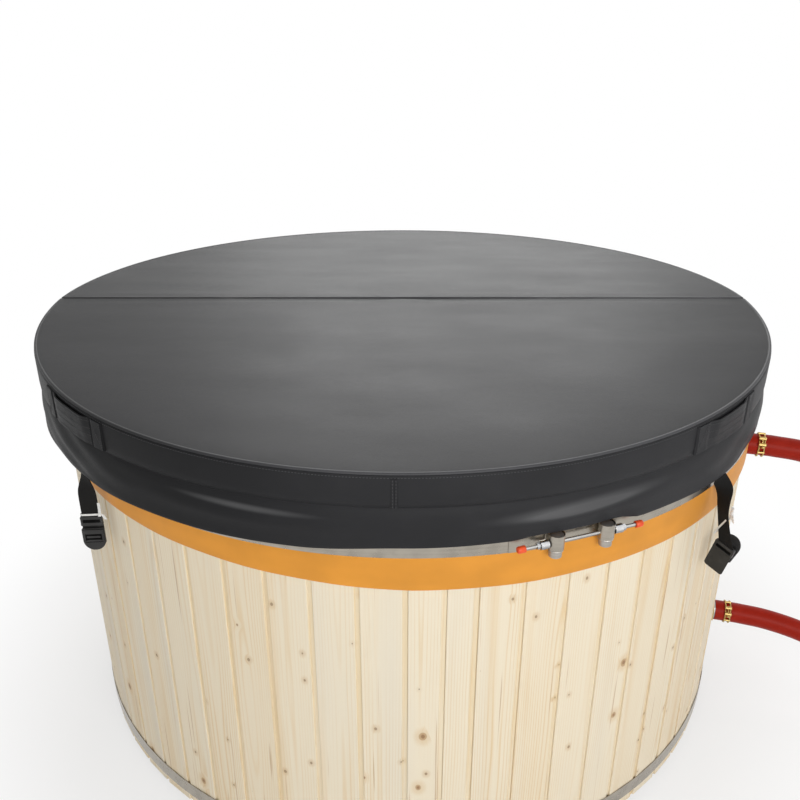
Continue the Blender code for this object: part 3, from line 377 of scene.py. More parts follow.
def sawn_timber():
    """Rough sawn timber of the base."""
    f = Finish("Sawn timber")
    place = f.place()
    x, y, z = (place.part(k) for k in range(3))
    fibre = f.cloud(f.vector(x * 160.0, y * 6.0, z * 160.0), 1.0, 4.0, 0.6)
    darkening = f.cloud(place, 5.0, 2.0)
    wood = f.mix((fibre * 0.7 + darkening * 0.4).clamp(), (0.60, 0.43, 0.24), (0.34, 0.21, 0.11))
    return f.set(Base_Color=wood, Roughness=0.72 + fibre * 0.15, Normal=f.bump(fibre, 0.4, 0.001))


def moulded(shell):
    """Caramel moulded plastic with a soft mottled gloss."""
    f = Finish("Moulded plastic")
    place = f.place()
    mottle = f.cloud(place, 9.0, 3.0)
    long_tone = f.cloud(f.vector(place.part(0) * 2.0, place.part(1) * 2.0, place.part(2) * 16.0), 1.0, 2.0)
    deep = tuple(c * 0.80 for c in shell.plastic)
    colour = f.mix(f.step(mottle * 0.5 + long_tone * 0.5, 0.30, 0.70), deep, tuple(shell.plastic))
    peel = f.cloud(place, 190.0, 2.0) * 0.5 + f.cloud(place, 26.0, 2.0) * 2.0
    finish = f.bump(peel, 0.22, 0.0012)
    return f.set(Base_Color=colour, Roughness=0.40 + mottle * 0.14, Specular_IOR_Level=0.18, Normal=finish)


def metal(name, colour, rough, streaks=(6.0, 6.0, 420.0), depth=0.12, darkening=None):
    """Metal with fine streaks and handling marks; darkening is a height below which the colour is darkened, a
    painted dark reflection.
    """
    f = Finish(name)
    place = f.place()
    x, y, z = (place.part(k) * streaks[k] for k in range(3))
    brushed = f.cloud(f.vector(x, y, z), 1.0, 3.0)
    marks = f.cloud(place, 28.0, 3.0)
    dull = tuple(c * 0.78 for c in colour)
    shade = f.mix(f.step(marks * 0.6 + brushed * 0.4, 0.35, 0.65), dull, tuple(colour))
    # Painted reflection: below the given height the colour turns darker, standing in for dark surroundings
    # mirrored in the metal.
    if darkening:
        low = f.step(place.part(2), darkening + 0.0022, darkening - 0.0030)
        shade = f.mix(low * 0.75, shade, tuple(c * 0.28 for c in colour))
    finish = f.bump(brushed, depth, 0.0004)
    return f.set(Base_Color=shade, Metallic=1.0, Roughness=rough + marks * 0.16, Normal=finish)


def vinyl(name, colour, shine, rolls=(), fade=0.0):
    """Artificial leather: fine pebbled grain, soft smudges, a satin face, a painted sheen on its rolls and
    painted shade towards the left.

    A roll is an azimuth, its spread, its height, its half width and its climb for each degree.
    """
    f = Finish(name)
    place = f.place()
    bend = f.cloud(place, 240.0, 2.0)
    pebble = f.cells(place, 620.0, "DISTANCE_TO_EDGE")
    ripple = f.cloud(place, 34.0, 3.0, 0.55)
    smudge = f.cloud(place, 2.6, 4.0, 0.6)
    scuff = f.cloud(f.vector(place.part(0) * 3.0, place.part(1) * 11.0, place.part(2) * 3.0), 1.0, 3.0)
    worn = tuple(min(1.0, c * 1.3 + 0.002) for c in colour)
    shade = f.mix(f.step(smudge, 0.35, 0.75), tuple(colour), worn)
    rough = 0.38 + smudge * 0.16 + (scuff - 0.5) * 0.10 + (bend - 0.5) * 0.06
    height = f.step(pebble, 0.0, 0.35) * 0.35 + bend * 0.4 + ripple * 1.2
    grained = f.bump(height, 0.30, 0.0009)
    x, y, z = (place.part(k) for k in range(3))
    # Painted shade: the colour darkens towards -X, the left side, by the fade share.
    if fade:
        shade = f.mix(f.step(x, -0.12, -0.62) * fade, shade, tuple(c * 0.15 for c in colour))
    # Painted sheen: a coat is laid on elliptic patches of the rolls where a highlight should show.
    if rolls:
        turn = x.run("ARCTAN2", x, y * -1.0) * 57.3
        painted_sheen = 0.0
        for at, spread, level, wide, climb in rolls:
            u = (turn - at) / spread
            v = (z - level - (turn - at) * climb) / wide
            painted_sheen = f.step((u * u + v * v) ** 0.5, 1.0, 0.10) + painted_sheen
        f.set(Coat_Weight=painted_sheen.clamp(), Coat_Roughness=0.50, Coat_IOR=1.58)
    return f.set(Base_Color=shade, Roughness=rough, Specular_IOR_Level=shine, Normal=grained)


def plain_cloth(name, colour, scale):
    """Close-woven cloth."""
    f = Finish(name)
    place = f.place()
    warp = place.part(0).run("SINE", place.part(0) * scale) * place.part(1).run("SINE", place.part(1) * scale)
    fade = f.cloud(place, 6.0, 3.0)
    deep = tuple(c * 0.7 for c in colour)
    shade = f.mix(fade, deep, tuple(colour))
    return f.set(Base_Color=shade, Roughness=0.72 + fade * 0.2, Normal=f.bump(warp, 0.3, 0.0005))


def strap_weave(hose):
    """Ribbed strap webbing on the strap's own map."""
    f = Finish("Strap webbing")
    lay = f.add("ShaderNodeUVMap", {"uv_map": "weave"})
    across = lay.part(0)
    along = lay.part(1)
    rib = across.run("SINE", across * 3900.0) * 0.5 + 0.5
    pick = along.run("SINE", along * 2600.0 + rib * 1.6) * 0.5 + 0.5
    fuzz = f.cloud(f.vector(across * 900.0, along * 900.0, 0.0), 1.0, 2.0)
    worn = tuple(c * 1.8 + 0.003 for c in hose.webbing)
    colour = f.mix((rib * pick * 0.7 + fuzz * 0.3).clamp(), tuple(hose.webbing), worn)
    woven = f.bump(rib * pick, 0.6, 0.0005)
    return f.set(Base_Color=colour, Roughness=0.70 + fuzz * 0.2, Specular_IOR_Level=0.18, Normal=woven)


def moulded_black(name, colour, rough=0.36, shine=0.5):
    """Moulded plastic with a fine spark-eroded texture."""
    f = Finish(name)
    place = f.place()
    grit = f.cloud(place, 900.0, 2.0)
    worn = f.cloud(place, 40.0, 3.0)
    light = tuple(min(1.0, c * 1.6 + 0.006) for c in colour)
    shade = f.mix(f.step(worn, 0.45, 0.75), tuple(colour), light)
    grainy = f.bump(grit, 0.12, 0.0004)
    return f.set(Base_Color=shade, Roughness=rough + worn * 0.12, Specular_IOR_Level=shine, Normal=grainy)


def silicone(hose):
    """Red silicone with a faint wrapped texture and dusty patches."""
    f = Finish("Red silicone")
    place = f.place()
    dust = f.cloud(place, 22.0, 4.0, 0.6)
    wrap = f.cloud(f.vector(place.part(0) * 60.0, place.part(1) * 14.0, place.part(2) * 300.0), 1.0, 2.0)
    pale = tuple(min(1.0, c * 1.25 + 0.008) for c in hose.rubber)
    colour = f.mix(f.step(dust, 0.40, 0.80) * 0.6, tuple(hose.rubber), pale)
    finish = f.bump(wrap * 0.5 + dust, 0.14, 0.0008)
    return f.set(Base_Color=colour, Roughness=0.34 + dust * 0.20, Specular_IOR_Level=0.14, Normal=finish)


def radial(azimuth):
    """Unit vector away from the axis."""
    turn = math.radians(azimuth)
    return Vector((math.sin(turn), -math.cos(turn), 0.0))


def tangent(azimuth):
    """Unit vector towards growing azimuth."""
    turn = math.radians(azimuth)
    return Vector((math.cos(turn), math.sin(turn), 0.0))


def polar(radius, azimuth, z):
    """A point by distance from the axis, azimuth and height."""
    point = radial(azimuth) * radius
    point.z = z
    return point


def aim(origin, direction):
    """A frame at the origin whose Z runs along the direction."""
    return Matrix.Translation(Vector(origin)) @ Vector(direction).to_track_quat("Z", "Y").to_matrix().to_4x4()


def ease(value):
    """A smooth step from 0 to 1."""
    value = min(1.0, max(0.0, value))
    return value * value * (3.0 - 2.0 * value)


def bell(value, width):
    """A soft hump of height 1."""
    return math.exp(-((value / width) ** 2))


def smooth_line(points, parts=10):
    """A smooth run of points through chosen ones."""
    chosen = [points[0] * 2 - points[1]] + list(points) + [points[-1] * 2 - points[-2]]
    made = []
    for k in range(1, len(chosen) - 2):
        a, b, c, d = chosen[k - 1 : k + 3]
        for j in range(parts):
            t = j / parts
            bend = (a * 2 - b * 5 + c * 4 - d) * t**2 + (b * 3 - a - c * 3 + d) * t**3
            made.append((b * 2 + (c - a) * t + bend) / 2)
    made.append(points[-1].copy())
    return made


def arc(across, up, radius, start, end, steps):
    """Points of an arc in a profile."""
    turns = [math.radians(start + (end - start) * k / steps) for k in range(steps + 1)]
    return [(across + radius * math.cos(t), up + radius * math.sin(t)) for t in turns]


def skin(mesh, loops, wrap=False, material=0):
    """Adds a closed skin through loops of equal length."""
    rows = [[mesh.verts.new(point) for point in loop] for loop in loops]
    pairs = list(zip(rows, rows[1:]))
    if wrap:
        pairs.append((rows[-1], rows[0]))
    faces = []
    for low, high in pairs:
        for i in range(len(low)):
            j = (i + 1) % len(low)
            faces.append(mesh.faces.new((low[i], low[j], high[j], high[i])))
    if not wrap:
        faces.append(mesh.faces.new(list(reversed(rows[0]))))
        faces.append(mesh.faces.new(rows[-1]))
    bmesh.ops.recalc_face_normals(mesh, faces=faces)
    for face in faces:
        face.material_index = material
    return faces


def turned(mesh, profile, frame_at, steps=32, wrap=False, material=0):
    """Adds a turned solid about the frame's Z; a radius may be a function of the angle."""
    loops = []
    for radius, z in profile:
        loop = []
        for k in range(steps):
            angle = 360.0 * k / steps
            size = radius(angle) if callable(radius) else radius
            turn = math.radians(angle)
            loop.append(frame_at @ Vector((size * math.cos(turn), size * math.sin(turn), z)))
        loops.append(loop)
    return skin(mesh, loops, wrap, material)


def six_flats(across):
    """Radius of a hexagon at an angle."""
    return lambda angle: across / 2 / math.cos(math.radians((angle + 30.0) % 60.0 - 30.0))


def placed(name, data, body):
    """A named piece from its data, riding on a body."""
    piece = bpy.data.objects.new(name, data)
    bpy.context.scene.collection.objects.link(piece)
    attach(piece, body)
    return piece


def finished(name, mesh, materials, body, angle=35.0):
    """A named piece from a mesh, shaded smooth below an angle."""
    data = bpy.data.meshes.new(name)
    mesh.to_mesh(data)
    mesh.free()
    for material in materials:
        data.materials.append(material)
    data.shade_smooth()
    data.set_sharp_from_angle(angle=math.radians(angle))
    return placed(name, data, body)


def bevelled(piece, width, segments=2):
    """Rounds a piece's edges with a live bevel."""
    step = piece.modifiers.new("Edges", "BEVEL")
    step.width = width
    step.segments = segments
    step.limit_method = "ANGLE"
    step.angle_limit = math.radians(40.0)
    return piece


class Cover:
    """Shape of the cover, repeated from the solids with fuller soft forms."""

    def __init__(self, settings):
        self.s = settings
        self.half_gap = 0.005 + FIT

    def top(self, y):
        """Height of the plain top, which falls from the fold to the edge."""
        return self.s.ridge - self.s.rise * abs(y) / self.s.radius

    def crown(self, point, y, share):
        """Height of the top's skin, which swells a little and dips beside the fold."""
        fade = ease((1.0 - share) * 6.0)
        spread = Vector((point.x * 2.1, point.y * 2.1, 3.1))
        swell = 0.0018 * noise.noise(spread) + 0.0006 * noise.noise(spread * 4.3)
        z = self.top(y) + fade * ease((y - self.half_gap) / 0.10) * swell
        return z - fade * 0.0012 * bell(y - 0.018, 0.010) * ease((y - self.half_gap) / 0.004)

    def hem_z(self, azimuth):
        """Height of the hem: lifted over the pins, sagging on the left."""
        lift = 0.006 * ease((8.0 - abs(azimuth - (PIN_LEFT + PIN_RIGHT) / 2)) / 3.0)
        sag = 0.013 * ease(-azimuth / 12.0) * ease((150.0 + azimuth) / 60.0)
        droop = 0.009 * ease((13.5 - abs(azimuth - 40.0)) / 3.0)
        return self.s.hem + lift - sag - droop

    def hem_out(self, azimuth):
        """Distance of the waving hem from the cover's axis."""
        turn = math.radians(azimuth)
        wave = 0.6 * math.sin(9 * turn + 0.4) + 0.4 * math.sin(17 * turn + 1.3)
        return self.s.radius + 0.002 + 0.003 * wave

    def point(self, radius, azimuth, z, side):
        """A point on one half, and how far it lies from the fold."""
        turn = math.radians(azimuth)
        y = self.half_gap + radius * math.cos(turn) * (1.0 - self.half_gap / self.s.radius)
        return Vector((self.s.shift + radius * math.sin(turn), -side * y, z)), y

    def world(self, azimuth, side):
        """Azimuth round the tub of an azimuth on one half."""
        turned_round = azimuth if side > 0 else 180.0 - azimuth
        return turned_round - 360.0 if turned_round > 180.0 else turned_round

    def soft(self, world, z):
        """How far the side stands out from its plain form: bulges, puckers and hanging folds."""
        turn = math.radians(world)
        around = Vector((math.sin(turn) * 3.0, math.cos(turn) * 3.0, z * 6.0))
        band = ease((z - self.s.crease) / 0.02) * ease((self.s.ridge - z) / 0.03)
        out = 0.0012 * band + 0.0010 * noise.noise(around * 1.7)
        roll = 0.25 + bell(world - 19.5, 8.0) + 0.9 * bell(world + 20.0, 9.0)
        out += 0.0045 * roll * bell(z - self.s.crease + 0.044, 0.014)
        drop = ease((self.s.crease - 0.012 - z) / 0.05)
        hanging = Vector((math.sin(turn) * 5.0, math.cos(turn) * 5.0, z * 4.0 + 7.0))
        out += drop * 0.0016 * noise.noise(hanging)
        near = bell(world + 50.0, 10.0)
        slant = math.sin((world + 50.0) * 0.55 + (z - self.s.crease) * 120.0)
        out += near * ease((1.04 - z) / 0.05) * 0.0022 * slant
        near = bell(world - 50.0, 9.0)
        slant = math.sin((world - 50.0) * 0.50 - (z - self.s.crease) * 105.0 + 0.8)
        out += near * ease((1.04 - z) / 0.05) * 0.0014 * slant
        return out


def cover_rows(cover, world, front_y):
    """Outer profile of the cover's side at an azimuth, from the top's edge down to the hem."""
    r = cover.s.radius
    crease = cover.s.crease
    top = cover.top(front_y)
    hem = cover.hem_z(world)
    out = cover.hem_out(world)
    proud = ease((front_y - 0.008) / 0.06)
    chosen = [
        (r - 0.0100, top),
        (r - 0.0066, top - 0.0002),
        (r - 0.0050, top + 0.0006 * proud),
        (r - 0.0022, top + 0.0008 * proud),
        (r - 0.0002, top - 0.0008),
        (r - 0.0002, top - 0.0030),
        (r - 0.0014, top - 0.0046),
        (r + 0.0002, top - 0.0085),
        (r + 0.0004, top - 0.0350),
        (r - 0.0004, crease + 0.0130),
        (r - 0.0035, crease + 0.0030),
        (r - 0.0060, crease - 0.0010),
        (r - 0.0030, crease - 0.0070),
        (r + 0.0006, crease - 0.0200),
        (r + 0.0026, crease - 0.0420),
        (0.4 * (r + 0.003) + 0.6 * out, 0.35 * (crease - 0.04) + 0.65 * hem),
        (out, hem + 0.0012),
    ]
    line = smooth_line([Vector((a, z, 0.0)) for a, z in chosen], 3)
    rows = []
    for k, p in enumerate(line):
        give = min(1.0, k / 18.0) * (0.35 if k >= len(line) - 2 else 1.0)
        rows.append((p.x + give * cover.soft(world, p.y), p.y))
    return rows


def cover_half(cover, side, steps=150):
    """Closed skin of one cover half: crowned top, side band, crease, hanging skirt and lined underside."""
    mesh = bmesh.new()
    r = cover.s.radius
    low = 1.0053
    rings = 22
    columns = []
    centre = cover.point(0.0, 0.0, cover.top(cover.half_gap), side)[0]
    under = cover.point(0.0, 0.0, low, side)[0]
    for k in range(steps + 1):
        azimuth = -90.0 + 180.0 * k / steps
        world = cover.world(azimuth, side)
        column = []
        for j in range(1, rings):
            share = (j / rings) ** 0.8
            radius = share * (r - 0.010)
            point, y = cover.point(radius, azimuth, 0.0, side)
            point.z = cover.crown(point, y, share)
            column.append((point, 0))
        edge_y = cover.point(r, azimuth, 0.0, side)[1]
        rows = cover_rows(cover, world, edge_y)
        for j, (radius, z) in enumerate(rows):
            # Rows 5 to 15 take the paler bound edge, a painted highlight; the rows below take the side vinyl,
            # with its painted sheen and shade.
            coat = 0 if j < 5 else (2 if j <= 15 else 3)
            column.append((cover.point(radius, azimuth, z, side)[0], coat))
        out, hem = rows[-1]
        column.append((cover.point(out - 0.0006, azimuth, hem - 0.0010, side)[0], 3))
        column.append((cover.point(out - VINYL, azimuth, hem, side)[0], 1))
        for share in (0.35, 0.7):
            radius = (1 - share) * out + share * (r - 0.002) - VINYL
            z = (1 - share) * hem + share * (cover.s.crease - 0.012)
            column.append((cover.point(radius, azimuth, z, side)[0], 1))
        column.append((cover.point(r - 0.0068 - VINYL, azimuth, cover.s.crease - 0.0030, side)[0], 1))
        column.append((cover.point(r - 0.0086, azimuth, low, side)[0], 1))
        for share in (0.8, 0.4):
            column.append((cover.point((r - 0.0086) * share, azimuth, low, side)[0], 1))
        columns.append(column)
    first = mesh.verts.new(centre)
    last = mesh.verts.new(under)
    made = [[mesh.verts.new(point) for point, _ in column] for column in columns]
    for k in range(steps):
        mesh.faces.new((first, made[k][0], made[k + 1][0])).material_index = 0
        mesh.faces.new((last, made[k + 1][-1], made[k][-1])).material_index = 1
        for j in range(len(made[k]) - 1):
            face = mesh.faces.new((made[k][j], made[k][j + 1], made[k + 1][j + 1], made[k + 1][j]))
            face.material_index = columns[k][j + 1][1]
    wall = [first] + made[0] + [last] + list(reversed(made[-1]))
    mesh.faces.new(wall).material_index = 1
    bmesh.ops.recalc_face_normals(mesh, faces=mesh.faces[:])
    return mesh


def stitch_tree():
    """Geometry Nodes that sew a row of stitches along the edges of a guide."""
    tree = bpy.data.node_groups.new("Stitch row", "GeometryNodeTree")
    face = tree.interface
    face.new_socket("Guide", in_out="INPUT", socket_type="NodeSocketGeometry")
    sizes = (("Pitch", 0.006), ("Length", 0.0042), ("Thickness", 0.0005))
    for name, default in sizes:
        made = face.new_socket(name, in_out="INPUT", socket_type="NodeSocketFloat")
        made.default_value = default
    face.new_socket("Thread", in_out="INPUT", socket_type="NodeSocketMaterial")
    face.new_socket("Stitches", in_out="OUTPUT", socket_type="NodeSocketGeometry")

    def node(kind, **settings):
        made = tree.nodes.new(kind)
        for key, value in settings.items():
            setattr(made, key, value)
        return made

    given = node("NodeGroupInput")
    result = node("NodeGroupOutput")
    line = node("GeometryNodeMeshToCurve")
    even = node("GeometryNodeResampleCurve", mode="LENGTH")
    points = node("GeometryNodeCurveToPoints", mode="EVALUATED")
    capsule = node("GeometryNodeMeshUVSphere")
    capsule.inputs["Segments"].default_value = 6
    capsule.inputs["Rings"].default_value = 4
    capsule.inputs["Radius"].default_value = 0.5
    stretch = node("ShaderNodeCombineXYZ")
    shaped = node("GeometryNodeTransform")
    instances = node("GeometryNodeInstanceOnPoints")
    real = node("GeometryNodeRealizeInstances")
    smooth = node("GeometryNodeSetShadeSmooth")
    coat = node("GeometryNodeSetMaterial")
    links = (
        (given, "Guide", line, 0),
        (line, 0, even, "Curve"),
        (given, "Pitch", even, "Length"),
        (even, 0, points, 0),
        (given, "Thickness", stretch, 0),
        (given, "Thickness", stretch, 1),
        (given, "Length", stretch, 2),
        (capsule, 0, shaped, "Geometry"),
        (stretch, 0, shaped, "Scale"),
        (points, "Points", instances, "Points"),
        (shaped, 0, instances, "Instance"),
        (points, "Rotation", instances, "Rotation"),
        (instances, 0, real, 0),
        (real, 0, smooth, 0),
        (smooth, 0, coat, "Geometry"),
        (given, "Thread", coat, "Material"),
        (coat, 0, result, 0),
    )
    for source, output, target, socket in links:
        tree.links.new(source.outputs[output], target.inputs[socket])
    return tree


def sew(name, lines, body, thread, pitch, size=(0.0042, 0.0010)):
    """A piece of stitching along lines of points, made by the stitch nodes."""
    tree = bpy.data.node_groups.get("Stitch row") or stitch_tree()
    guide = bpy.data.meshes.new(name + "_guide")
    points = []
    edges = []
    for line in lines:
        start = len(points)
        points += [tuple(p) for p in line]
        edges += [(start + k, start + k + 1) for k in range(len(line) - 1)]
    guide.from_pydata(points, edges, [])
    holder = bpy.data.objects.new(name + "_holder", guide)
    bpy.context.scene.collection.objects.link(holder)
    step = holder.modifiers.new("Stitches", "NODES")
    step.node_group = tree
    values = {"Pitch": pitch, "Length": size[0], "Thickness": size[1], "Thread": thread}
    for item in tree.interface.items_tree:
        if item.in_out == "INPUT" and item.name in values:
            step[item.identifier] = values[item.name]
    graph = bpy.context.evaluated_depsgraph_get()
    data = bpy.data.meshes.new_from_object(holder.evaluated_get(graph))
    data.name = name
    holder.modifiers.remove(step)
    bpy.data.objects.remove(holder, do_unlink=True)
    return placed(name, data, body)


class HOTTUB_OT_stage(bpy.types.Operator):
    """Floor, light and camera"""

    bl_idname = "hottub.stage"
    bl_label = "Stage"

    def execute(self, context):
        s = context.scene.hot_tub.stage
        context.scene.view_settings.view_transform = "Standard"
        eye = bpy.data.cameras.new("Camera")
        eye.lens = s.lens
        eye.sensor_width = 36.0
        camera = bpy.data.objects.new("Camera", eye)
        camera.location = (s.aside, -s.back, s.height)
        camera.rotation_euler = (math.radians(90.0) - s.pitch, 0.0, 0.0)
        context.scene.collection.objects.link(camera)
        context.scene.camera = camera
        world = bpy.data.worlds.new("Studio")
        context.scene.world = world
        world.use_nodes = True
        tree = world.node_tree
        path = tree.nodes.new("ShaderNodeLightPath")
        seen = path.outputs["Is Camera Ray"]
        for other in ("Is Glossy Ray", "Is Transmission Ray"):
            either = tree.nodes.new("ShaderNodeMath")
            either.operation = "MAXIMUM"
            tree.links.new(seen, either.inputs[0])
            tree.links.new(path.outputs[other], either.inputs[1])
            seen = either.outputs[0]
        room = tree.nodes["Background"]
        room.inputs["Color"].default_value = (1.0, 1.0, 1.0, 1.0)
        room.inputs["Strength"].default_value = s.fill
        white = tree.nodes.new("ShaderNodeBackground")
        white.inputs["Color"].default_value = (1.0, 1.0, 1.0, 1.0)
        white.inputs["Strength"].default_value = 1.0
        pick = tree.nodes.new("ShaderNodeMixShader")
        tree.links.new(seen, pick.inputs[0])
        tree.links.new(room.outputs[0], pick.inputs[1])
        tree.links.new(white.outputs[0], pick.inputs[2])
        tree.links.new(pick.outputs[0], tree.nodes["World Output"].inputs[0])
        floor_mesh = bmesh.new()
        bmesh.ops.create_circle(floor_mesh, cap_ends=True, segments=64, radius=60.0)
        data = bpy.data.meshes.new("Floor")
        floor_mesh.to_mesh(data)
        floor_mesh.free()
        floor = bpy.data.objects.new("Floor", data)
        floor.location.z = -0.0005
        context.scene.collection.objects.link(floor)
        data.materials.append(self.floor_finish())
        self.lamp(context, "Key", (0.8, -3.6, 1.9), (2.6, 1.2), 56.0)
        self.lamp(context, "Left", (-3.0, -1.6, 2.4), (1.8, 1.8), 4.0)
        self.lamp(context, "Right", (3.2, -0.6, 2.2), (1.8, 1.8), 9.0)
        self.lamp(context, "Back", (0.35, 5.0, 4.0), (4.0, 3.2), 168.0)
        return {"FINISHED"}

    def floor_finish(self):
        """Pale floor that is white to the camera and keeps the shadow."""
        f = Finish("Pale floor")
        f.set(Base_Color=(0.88, 0.88, 0.88), Roughness=0.8)
        glow = f.add("ShaderNodeEmission", {}, {"Color": (1.0, 1.0, 1.0), "Strength": 1.0})
        seen = f.add("ShaderNodeLightPath", {}, {}, 0)
        for output in (3, 6):
            seen = seen.run("MAXIMUM", seen, f.add("ShaderNodeLightPath", {}, {}, output))
        away = f.add("ShaderNodeVectorMath", {"operation": "LENGTH"}, {0: f.place()}, 1)
        path = seen * f.step(away, 0.98, 1.60, 0.62, 1.0)
        both = f.add("ShaderNodeMixShader", {}, {0: path, 1: Wire(f, f.shader.outputs[0]), 2: glow})
        f.tree.links.new(both.socket, f.tree.nodes["Material Output"].inputs[0])
        return f.material

    def lamp(self, context, name, at, size, power):
        """A soft lamp aimed at the tub."""
        lamp = bpy.data.lights.new(name, "AREA")
        lamp.shape = "RECTANGLE"
        lamp.size = size[0]
        lamp.size_y = size[1]
        lamp.energy = power
        holder = bpy.data.objects.new(name, lamp)
        holder.location = at
        holder.visible_camera = False
        way = Vector((0.0, 0.0, 0.8)) - Vector(at)
        holder.rotation_euler = way.to_track_quat("-Z", "Y").to_euler()
        context.scene.collection.objects.link(holder)


class HOTTUB_OT_hoses(bpy.types.Operator):
    """Both heater hoses with their clamps and connectors"""

    bl_idname = "hottub.hoses"
    bl_label = "Hoses"

    def execute(self, context):
        s = context.scene.hot_tub.hose
        rubber = silicone(s)
        zinc = metal("Yellow zinc", tuple(s.zinc), 0.26, (300.0, 300.0, 300.0))
        steel = metal("Connector steel", (0.60, 0.60, 0.60), 0.24, (40.0, 40.0, 40.0))
        for name, z, route in (("upper", UPPER_PORT_Z, UPPER_ROUTE), ("lower", LOWER_PORT_Z, LOWER_ROUTE)):
            self.hose(name, z, route, s, rubber, zinc, steel)
        return {"FINISHED"}

    def hose(self, name, z, route, s, rubber, zinc, steel):
        """One hose from its port to its far end."""
        out = radial(PORT_AZIMUTH)
        side = tangent(PORT_AZIMUTH)
        start = polar(board_corner() + 0.016 + 2 * FIT, PORT_AZIMUTH, z)
        lead = start + out * HOSE_LEAD
        foot = out * bpy.context.scene.hot_tub.wall.radius + Vector((0, 0, HOSE_REST))
        bends = [foot + out * a + side * b + Vector((0, 0, (z - HOSE_REST) * h)) for a, b, h in route]
        points = [start, start + out * HOSE_LEAD / 2] + smooth_line([lead] + bends, 5)
        curve = bpy.data.curves.new(name + "_silicone_hose", "CURVE")
        curve.dimensions = "3D"
        curve.bevel_depth = s.radius
        curve.bevel_resolution = 8
        curve.use_fill_caps = True
        spline = curve.splines.new("POLY")
        spline.points.add(len(points) - 1)
        for k, point in enumerate(points):
            spline.points[k].co = (*point, 1.0)
        curve.materials.append(rubber)
        hose = placed(name + "_silicone_hose", curve, "tub")
        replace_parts(hose, name + "_hose")
        along = sum((b - a).length for a, b in zip(points, points[1:]))
        near = self.clamp(name + "_near_wire_clamp", start + out * CLAMP_AT, out, s, zinc)
        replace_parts(near, name + "_hose_near_clamp")
        last = (points[-1] - points[-2]).normalized()
        far = self.clamp(name + "_far_wire_clamp", points[-1] - last * CLAMP_AT, last, s, zinc)
        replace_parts(far, name + "_hose_far_clamp")
        end = self.connector(name + "_hose_tail", points[-1], last, steel)
        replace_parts(end, name + "_hose_connector")

    def clamp(self, name, at, along, s, zinc):
        """Two wire rings drawn together by a screw through two trunnions."""
        mesh = bmesh.new()
        frame_at = aim(at, along)
        up = frame_at.to_3x3().inverted() @ Vector(CLAMP_FACING)
        turn = Matrix.Rotation(math.atan2(up.y, up.x), 4, "Z")
        local = frame_at @ turn
        ring = s.radius + s.wire + 0.0002
        for shift in (-0.0066, 0.0066):
            profile = arc(ring, shift, s.wire, 0, 324, 9)
            turned(mesh, profile, local, 48, True)
        for y in (-0.0085, 0.0085):
            block = local @ Matrix.Translation((ring + 0.0055, y, 0.0))
            post = [(0.0042, -0.0092), (0.0048, -0.0084), (0.0048, 0.0084), (0.0042, 0.0092)]
            turned(mesh, post, block, 16)
        for angle in (52.0, -52.0):
            spin = Matrix.Rotation(math.radians(angle), 4, "Z")
            block = local @ spin @ Matrix.Translation((ring + 0.0016, 0.0, 0.0))
            bridge = [(0.0024, -0.0090), (0.0032, -0.0083), (0.0032, 0.0083), (0.0024, 0.0090)]
            turned(mesh, bridge, block, 12)
        screw = aim(local @ Vector((ring + 0.0055, 0, 0)), local.to_3x3() @ Vector((0, 1, 0)))
        profile = [(0.0019, -0.014)]
        for k in range(22):
            profile.append((0.0022 if k % 2 else 0.0018, -0.0135 + 0.0012 * k))
        profile += [(0.0019, 0.0133), (0.0019, 0.0145)]
        turned(mesh, profile, screw, 16)
        head = six_flats(0.0078)
        turned(mesh, [(0.003, 0.0140), (head, 0.0146), (head, 0.0180), (0.0030, 0.0186)], screw, 24)
        return finished(name, mesh, [zinc], "tub")

    def connector(self, name, at, along, steel):
        """A hose tail with a collar, hexagon and threaded end."""
        mesh = bmesh.new()
        local = aim(at, along)
        flats = six_flats(0.0565)
        profile = [(0.0200, FIT), (0.0280, FIT), (0.0330, 0.0012), (0.0330, 0.0030), (0.0300, 0.0042)]
        profile += [(flats, 0.0060), (flats, 0.0180), (0.0262, 0.0200), (0.0240, 0.0220)]
        for k in range(9):
            profile += [(0.0258, 0.0245 + 0.005 * k), (0.0240, 0.0270 + 0.005 * k)]
        profile += [(0.0245, 0.0690), (0.0238, 0.0700), (0.0200, 0.0700)]
        turned(mesh, profile, local, 48, True)
        return finished(name, mesh, [steel], "tub")


def board_corner():
    """Distance of the boards' outer corners from the axis."""
    wall = bpy.context.scene.hot_tub.wall
    closing = sum(2 * math.degrees(math.atan(w / 2 / wall.radius)) for w in CLOSING_BOARDS)
    return wall.radius / math.cos(math.radians((360.0 - closing) / wall.boards / 2))


